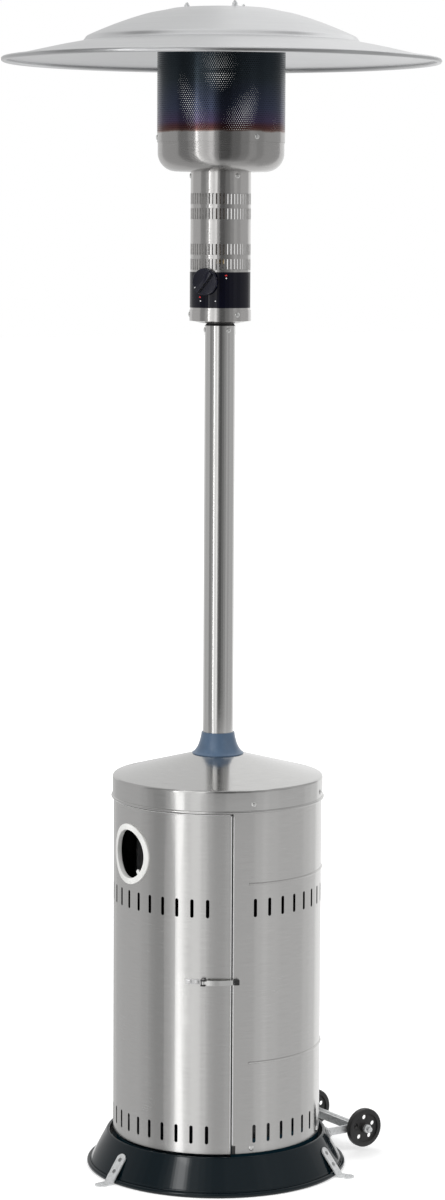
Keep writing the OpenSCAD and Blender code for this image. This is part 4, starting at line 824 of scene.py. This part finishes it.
def label_marks(name, marks):
    """Printed marks on the control plate, each an outline with its azimuth and height."""
    bm = bmesh.new()
    for outline, azimuth, z in marks:
        wrapped_patch(bm, outline(math.radians(azimuth) * LABEL_R, z), LABEL_R, MARK_T)
    return mesh_from(name, bm)


def knob_pointer():
    """Small round mark on the knob's grip."""
    bm = bmesh.new()
    bmesh.ops.create_cone(bm, cap_ends=True, segments=24, radius1=0.0017, radius2=0.0016, depth=0.0006)
    turn, tip_over = Matrix.Rotation(math.radians(KNOB_AZIMUTH), 4, "Z"), Matrix.Rotation(math.radians(90), 4, "X")
    bm.transform(turn @ Matrix.Translation(POINTER_PLACE) @ tip_over)
    return mesh_from("knob_pointer", bm)


NUT_TURNS = {78: 65.0, 198: -49.0, 318: -168.0}  # by the stud's azimuth


def turned_nuts():
    """Wing nuts with rounded edges, each turned its own way on its stud."""
    nuts = softened("wing_nuts", 1.75)
    studs = [sum(part, Vector()) / len(part) for part in loose_parts("reflector_studs")]
    groups = [[] for _ in studs]
    for v in nuts.vertices:
        reach = [(v.co.xy - stud.xy).length for stud in studs]
        groups[reach.index(min(reach))].append(v)
    for group in groups:
        middle = sum((v.co for v in group), Vector()) / len(group)
        azimuth = math.degrees(math.atan2(middle.x, -middle.y)) % 360
        angle = NUT_TURNS[min(NUT_TURNS, key=lambda stud: abs(stud - azimuth))]
        turn = Matrix.Rotation(math.radians(angle), 4, "Z")
        for v in group:
            v.co = middle + turn @ (v.co - middle)
    return nuts


# Operators


class HEATER_OT_foot(bpy.types.Operator):
    """Enamelled foot, its floor and the galvanised ground brackets"""

    bl_idname = "heater.foot"
    bl_label = "Dress the foot"

    def execute(self, context):
        coat("foot_enamel", "base_shell")
        coat("floor_enamel", "base_floor")
        coat("zinc_strap", "anchor_brackets")
        screws_for("foot_screws", "zinc_screw", flat=True)
        return {"FINISHED"}


class HEATER_OT_frame(bpy.types.Operator):
    """Posts, bolts and the socket inside the cabinet"""

    bl_idname = "heater.frame"
    bl_label = "Dress the inner frame"

    def execute(self, context):
        coat("frame_steel", "post_left", "post_right", "post_back", "pole_socket")
        soften("frame_bolts", "frame_steel", 0.75)
        return {"FINISHED"}


class HEATER_OT_cabinet(bpy.types.Operator):
    """Brushed door and panel with their rolled edges and screws, and the ring of the hand hole"""

    bl_idname = "heater.cabinet"
    bl_label = "Dress the cabinet"

    def execute(self, context):
        coat("cabinet_steel", "fixed_panel", "door_panel")
        coat("bumper_rubber", "door_bumper")
        screws_for("panel_screws")
        soften("window_ring", "ring_plastic", 2.0, "door", sharp=60.0)
        foot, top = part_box("door_panel")[0][2] / MM + 1.0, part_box("door_panel")[1][2] / MM - 1.0
        above_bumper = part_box("door_bumper")[1][2] / MM + 1.0
        door, panel, tab = bmesh.new(), bmesh.new(), bmesh.new()
        upright_bead(door, DOOR_EDGE_AZIMUTH, foot, top, 0.6 * EDGE_BEAD_R)
        level_bead(door, TOP_BEAD_REACH, TOP_BEAD_Z, CABINET_R - 0.5, TOP_BEAD_R)
        upright_bead(panel, PANEL_EDGE_AZIMUTH, above_bumper, top, EDGE_BEAD_R)
        wrapped_patch(tab, [(x + TAB_X, z + TAB_Z) for x, z in TAB_OUTLINE], TAB_R, TAB_T)
        # The rolled edges get the lighter copy of the cabinet's steel, a painted highlight.
        for name, bm, body in (("door_edge_bead", door, "door"), ("panel_edge_bead", panel, "stand")):
            place(name, mesh_from(name, bm), "highlit_bead_steel", body=body, sharp=32.0, record_slot="cabinet_steel")
        place("ring_tab", mesh_from("ring_tab", tab), "ring_plastic", body="door", sharp=32.0)
        return {"FINISHED"}


class HEATER_OT_fittings(bpy.types.Operator):
    """Hinges and the side catch"""

    bl_idname = "heater.fittings"
    bl_label = "Dress hinges and catch"

    def execute(self, context):
        coat("hinge_steel", "hinge_frame_leaves", "hinge_door_leaves", "hinge_pins", "latch_pin")
        coat("latch_steel", "latch_lever")
        soften("latch_plate", "hinge_steel", body="door")
        soften("latch_keeper", "latch_black", 1.5)
        soften("latch_block", "latch_black", body="door")
        return {"FINISHED"}


class HEATER_OT_lid(bpy.types.Operator):
    """Lid with its sloping top and beaded skirt"""

    bl_idname = "heater.lid"
    bl_label = "Spin the lid"

    def execute(self, context):
        place("lid_shell", lathe("lid_shell", lid_outline(), 192), "lid_steel", "cap", sharp=40.0)
        screws_for("cap_screws")
        return {"FINISHED"}


class HEATER_OT_pole(bpy.types.Operator):
    """Pole, flared collar and plug"""

    bl_idname = "heater.pole"
    bl_label = "Dress the pole"

    def execute(self, context):
        coat("pole_steel", "pole")
        coat("plug_black", "pole_plug")
        flare = lathe("collar_flare", collar_outline(), 96)
        place("collar_flare", flare, "collar_blue", "pole_collar", sharp=40.0)
        screws_for("pole_screws")
        return {"FINISHED"}


class HEATER_OT_gas_line(bpy.types.Operator):
    """Brass, copper and cast parts of the gas line"""

    bl_idname = "heater.gas_line"
    bl_label = "Dress the gas line"

    def execute(self, context):
        coat("pipe_copper", "gas_pipe")
        coat("galvanised", "valve_nut", "head_nut")
        coat("gas_brass", "valve_plug", "knob_spindle")
        soften("gas_inlet", "gas_brass", 0.75)
        soften("gas_valve", "valve_cast", 2.0)
        soften("gas_injector", "gas_brass", 0.75)
        return {"FINISHED"}


class HEATER_OT_head(bpy.types.Operator):
    """Slotted housing, its band and the bowl above it"""

    bl_idname = "heater.head"
    bl_label = "Dress the burner head"

    def execute(self, context):
        coat("head_steel", "head_band", "head_housing")
        coat("bowl_steel", "burner_bowl")
        place("head_pan", lathe("head_pan", HEAD_PAN, 96), "head_steel")
        for node in ("band_screws", "housing_screws", "bowl_screws"):
            screws_for(node)
        return {"FINISHED"}


class HEATER_OT_controls(bpy.types.Operator):
    """Control plate with its plain marks, and the knob"""

    bl_idname = "heater.controls"
    bl_label = "Dress the controls"

    def execute(self, context):
        coat("label_black", "control_label")
        for name, marks, slot in (("label_dots", DOTS, "mark_white"), ("label_marks", BARS, "mark_red")):
            place(name, label_marks(name, marks), slot, sharp=32.0, record_slot="label_black")
        soften("control_knob", "knob_black", 2.0, "knob")
        place("knob_pointer", knob_pointer(), "mark_white", body="knob", sharp=32.0, record_slot="knob_black")
        return {"FINISHED"}


class HEATER_OT_burner(bpy.types.Operator):
    """Burner, pilot, electrodes and tilt switch"""

    bl_idname = "heater.burner"
    bl_label = "Dress the burner"

    def execute(self, context):
        coat("burner_steel", "burner_plate", "burner_tube", "burner_head")
        coat("gas_brass", "pilot_burner")
        coat("ceramic_white", "thermocouple", "spark_electrode")
        soften("tilt_switch", "switch_black", 2.0)
        return {"FINISHED"}


class HEATER_OT_screen(bpy.types.Operator):
    """Perforated screen, tinted by the heat, and its lid"""

    bl_idname = "heater.screen"
    bl_label = "Perforate the screen"

    def execute(self, context):
        place("screen_sheet", perforated_screen(), "screen_steel", "glow_screen", sharp=30.0)
        coat("bowl_steel", "screen_top")
        return {"FINISHED"}


class HEATER_OT_reflector(bpy.types.Operator):
    """Spun reflector with its step and rolled rim, studs and wing nuts"""

    bl_idname = "heater.reflector"
    bl_label = "Spin the reflector"

    def execute(self, context):
        sheet = lathe("reflector_spun", reflector_outline(), 240, closed=False)
        place("reflector_spun", sheet, "reflector_aluminium", "reflector", sharp=60.0)
        coat("galvanised", "reflector_studs")
        place("wing_nuts_finished", turned_nuts(), "galvanised", "wing_nuts")
        return {"FINISHED"}


class HEATER_OT_wheels(bpy.types.Operator):
    """Galvanised wheel bracket, axle and moulded wheels"""

    bl_idname = "heater.wheels"
    bl_label = "Dress the wheels"

    def execute(self, context):
        coat("galvanised", "wheel_axle")
        soften("wheel_bracket", "galvanised", 0.75)
        soften("wheel_left", "wheel_plastic", 1.5, "left_wheel")
        soften("wheel_right", "wheel_plastic", 1.5, "right_wheel")
        return {"FINISHED"}


# The stage: rings of cards as (turn from the camera, strength), the strip for the foot, camera and lamps

CABINET_CARDS = (
    (-180, 0.6), (-152, 0.55), (-92, 0.5), (-82, 0.42), (-74, 0.35), (-58, 0.5), (-52, 0.75), (-46.5, 1.65),
    (-36.5, 0.85), (-29, 0.95), (-17.8, 0.74), (-11, 0.57), (-4.5, 0.47), (9, 0.55), (42, 0.63), (51, 0.7),
    (57, 0.64), (71, 0.6), (110, 0.68), (123, 0.75), (140, 1.0),
)
POLE_CARDS = (
    (-180, 0.75), (-130, 0.54), (-80, 0.3), (-58, 0.45), (-44, 3.6), (-41, 1.1), (-31, 0.9), (-21, 1.2),
    (-12, 0.4), (-4, 0.12), (18, 0.22), (34, 0.34), (50, 0.5), (64, 0.42), (80, 0.52), (130, 0.95),
)
CROWN_CARDS = ((-180, 0.8), (-110, 0.3), (-48, 0.9), (-36, 0.3), (60, 0.4), (100, 1.25), (150, 1.05))
CARD_RINGS = (
    (((0.3, 0.0015), (0.95, 0.0015), (0.95, 0.7)), CABINET_CARDS, 0.197),
    (((0.95, 0.7), (0.95, 2.35)), POLE_CARDS, 0.02),
    (((1.5, 2.35), (1.5, 4.5)), CROWN_CARDS, 0.0),
)
FOOT_CARD_Z = 0.42
FOOT_CARD_RADII = (0.55, 0.68, 0.8, 0.93)
FOOT_CARD_TURNS = (-42.0, -39.5, -37.0, -34.0, -27.5, -25.0, -22.5)
FOOT_CARD_GLOW = (1.0, 2.8, 6.0, 7.5, 4.5, 1.5)
FOOT_CARD_FADE = (1.2, 0.9, 0.55)

CAMERA_AZIMUTH = 56.3
CAMERA_PLACE = (5.0747, -3.3758, 1.781)
CAMERA_HEADING = (-0.83195, 0.55484, 0.0)
CAMERA_PITCH, CAMERA_ROLL = 6.53, 0.306
CAMERA_LENS, CAMERA_SENSOR, CAMERA_CLIP = 97.85, 36.0, 200.0

# Name, turn from the camera, radius, height, size, power
LAMPS = (("key", -50, 3.6, 3.4, 2.4, 90), ("fill", 60, 3.8, 2.6, 2.6, 60), ("back", 180, 3.4, 3.6, 2.6, 60))
LAMP_TARGET = Vector((0, 0, 1.1))

FLOOR_HALF = 40
FLOOR_GREY = (0.8, 0.8, 0.8, 1)
FLOOR_NEAR, FLOOR_FAR = (0.9, 0.44), (3.2, 0.75)
WORLD_LIGHT = 0.55
WHITE = (1, 1, 1, 1)


def card_azimuth(turn, radius, wall):
    """Azimuth where a line of sight mirrored by a round wall passes a radius, from twice the wall's own turn."""
    if abs(turn) == 180:
        return CAMERA_AZIMUTH + turn
    return CAMERA_AZIMUTH + turn - math.degrees(math.asin(wall * math.sin(math.radians(turn / 2)) / radius))


def empty_tree(owner):
    """Node tree of a material or world, with nothing in it."""
    owner.use_nodes = True
    owner.node_tree.nodes.clear()
    return owner.node_tree


def seen(tree):
    """1 for what is seen, straight, mirrored or through glass, and 0 for light that falls on things."""
    ray = put(tree, "LightPath").outputs
    others = maths(tree, "MAXIMUM", ray["Is Glossy Ray"], ray["Is Transmission Ray"])
    return maths(tree, "MAXIMUM", ray["Is Camera Ray"], others)


def emission(tree, strength):
    return put(tree, "Emission", {"Color": WHITE, "Strength": strength}).outputs[0]


def faced(mesh, up):
    """Turns a flat mesh to look up or down."""
    if (mesh.polygons[0].normal.z > 0) != up:
        mesh.flip_normals()
    return mesh


def add_card(name, mesh, strength, below_only=False):
    """A glowing card that shows in metal and gloss only, and perhaps only from below."""
    card = add_object(name, mesh)
    material = bpy.data.materials.new(name)
    tree = empty_tree(material)
    surface = emission(tree, strength)
    if below_only:
        above = put(tree, "NewGeometry").outputs["Backfacing"]
        clear = put(tree, "BsdfTransparent").outputs[0]
        surface = put(tree, "MixShader", {0: above, 1: surface, 2: clear}).outputs[0]
    put(tree, "OutputMaterial", {"Surface": surface})
    mesh.materials.append(material)
    card.visible_camera = card.visible_diffuse = card.visible_shadow = card.visible_transmission = False


class HEATER_OT_stage(bpy.types.Operator):
    """Pale floor, soft light, reflection cards and the camera"""

    bl_idname = "heater.stage"
    bl_label = "Set the stage"

    def execute(self, context):
        self.floor()
        self.world()
        self.cards()
        self.foot_card()
        self.lamps()
        self.camera()
        bpy.context.scene.view_settings.view_transform = "Standard"
        return {"FINISHED"}

    def floor(self):
        """Pale floor that keeps the shadow, and grows lighter away from the heater."""
        bm = bmesh.new()
        bmesh.ops.create_grid(bm, x_segments=1, y_segments=1, size=FLOOR_HALF)
        floor = add_object("floor", faced(mesh_from("floor", bm), True))
        material = bpy.data.materials.new("pale_floor")
        tree = empty_tree(material)
        lit = put(tree, "BsdfDiffuse", {"Color": FLOOR_GREY}).outputs[0]
        spot = put(tree, "NewGeometry").outputs["Position"]
        reach = put(tree, "VectorMath", {0: spot}, operation="LENGTH").outputs["Value"]
        rise = ranged(tree, reach, FLOOR_NEAR[0], FLOOR_FAR[0], FLOOR_NEAR[1], FLOOR_FAR[1])
        both = put(tree, "AddShader", {0: lit, 1: emission(tree, times(tree, seen(tree), rise))}).outputs[0]
        put(tree, "OutputMaterial", {"Surface": both})
        floor.data.materials.append(material)

    def world(self):
        """White where it is seen, and softer as a light."""
        world = bpy.data.worlds.new("studio")
        tree = empty_tree(world)
        strength = ranged(tree, seen(tree), 0.0, 1.0, WORLD_LIGHT, 1.0)
        light = put(tree, "Background", {"Color": WHITE, "Strength": strength}).outputs[0]
        put(tree, "OutputWorld", {"Surface": light})
        bpy.context.scene.world = world

    def cards(self):
        """Rings of light and dark cards, as round a photographer's table."""
        for ring, (profile, cards, wall) in enumerate(CARD_RINGS):
            ends = [start for start, _ in cards[1:]] + [180]
            for i, ((start, strength), end) in enumerate(zip(cards, ends)):
                bm = bmesh.new()
                steps = max(2, round((end - start) / 4))
                turns = [start + (end - start) * k / steps for k in range(steps + 1)]
                lines = [[bm.verts.new(at(card_azimuth(turn, r, wall), r, z)) for r, z in profile] for turn in turns]
                bridge_all(bm, lines, closed=False)
                name = f"card_{ring}_{i}"
                add_card(name, mesh_from(name, bm), strength)

    def foot_card(self):
        """A bright strip above the foot, with faded edges, for the soft streak in its gloss."""
        for i, (start, end, side) in enumerate(zip(FOOT_CARD_TURNS, FOOT_CARD_TURNS[1:], FOOT_CARD_GLOW)):
            for k, (near, far, fade) in enumerate(zip(FOOT_CARD_RADII, FOOT_CARD_RADII[1:], FOOT_CARD_FADE)):
                bm = bmesh.new()
                corners = ((start, near), (start, far), (end, far), (end, near))
                bm.faces.new([bm.verts.new(at(CAMERA_AZIMUTH + turn, r, FOOT_CARD_Z)) for turn, r in corners])
                name = f"foot_card_{i}_{k}"
                add_card(name, faced(mesh_from(name, bm), False), side * fade, below_only=True)

    def lamps(self):
        for name, turn, radius, height, size, power in LAMPS:
            light = bpy.data.lights.new(name, "AREA")
            light.shape, light.size, light.energy = "DISK", size, power
            lamp = add_object(name, light)
            lamp.location = at(CAMERA_AZIMUTH + turn, radius, height)
            lamp.rotation_euler = (lamp.location - LAMP_TARGET).to_track_quat("Z", "Y").to_euler()
            lamp.visible_glossy = False

    def camera(self):
        data = bpy.data.cameras.new("camera")
        data.lens, data.sensor_width, data.clip_end = CAMERA_LENS, CAMERA_SENSOR, CAMERA_CLIP
        camera = add_object("camera", data)
        pitch, roll = math.radians(CAMERA_PITCH), math.radians(CAMERA_ROLL)
        view = Vector(CAMERA_HEADING).normalized() * math.cos(pitch) - Vector((0, 0, math.sin(pitch)))
        right = view.cross(Vector((0, 0, 1))).normalized()
        basis = Matrix((right, right.cross(view), -view)).transposed().to_4x4()
        camera.matrix_world = Matrix.Translation(CAMERA_PLACE) @ basis @ Matrix.Rotation(roll, 4, "Z")
        bpy.context.scene.camera = camera


class HEATER_PT_panel(bpy.types.Panel):
    """Colours, sizes and steps of the heater's looks"""

    bl_idname = "HEATER_PT_panel"
    bl_label = "Patio heater"
    bl_space_type = "VIEW_3D"
    bl_region_type = "UI"
    bl_category = "Heater"

    def draw(self, context):
        for group in (context.scene.heater_colours, context.scene.heater_sizes):
            box = self.layout.box()
            for key in group.__annotations__:
                box.prop(group, key)
        for operator in OPERATORS:
            self.layout.operator(operator.bl_idname)


OPERATORS = (
    HEATER_OT_foot, HEATER_OT_frame, HEATER_OT_cabinet, HEATER_OT_fittings, HEATER_OT_lid, HEATER_OT_pole,
    HEATER_OT_gas_line, HEATER_OT_head, HEATER_OT_controls, HEATER_OT_burner, HEATER_OT_screen,
    HEATER_OT_reflector, HEATER_OT_wheels, HEATER_OT_stage,
)
CLASSES = (HeaterColours, HeaterSizes, *OPERATORS, HEATER_PT_panel)


def register():
    for item in CLASSES:
        bpy.utils.register_class(item)
    bpy.types.Scene.heater_colours = PointerProperty(type=HeaterColours)
    bpy.types.Scene.heater_sizes = PointerProperty(type=HeaterSizes)


def unregister():
    del bpy.types.Scene.heater_sizes
    del bpy.types.Scene.heater_colours
    for item in reversed(CLASSES):
        bpy.utils.unregister_class(item)


def main():
    register()
    bpy.ops.heater.foot()
    bpy.ops.heater.frame()
    bpy.ops.heater.cabinet()
    bpy.ops.heater.fittings()
    bpy.ops.heater.lid()
    bpy.ops.heater.pole()
    bpy.ops.heater.gas_line()
    bpy.ops.heater.head()
    bpy.ops.heater.controls()
    bpy.ops.heater.burner()
    bpy.ops.heater.screen()
    bpy.ops.heater.reflector()
    bpy.ops.heater.wheels()
    bpy.ops.heater.stage()


if __name__ == "__main__":
    main()
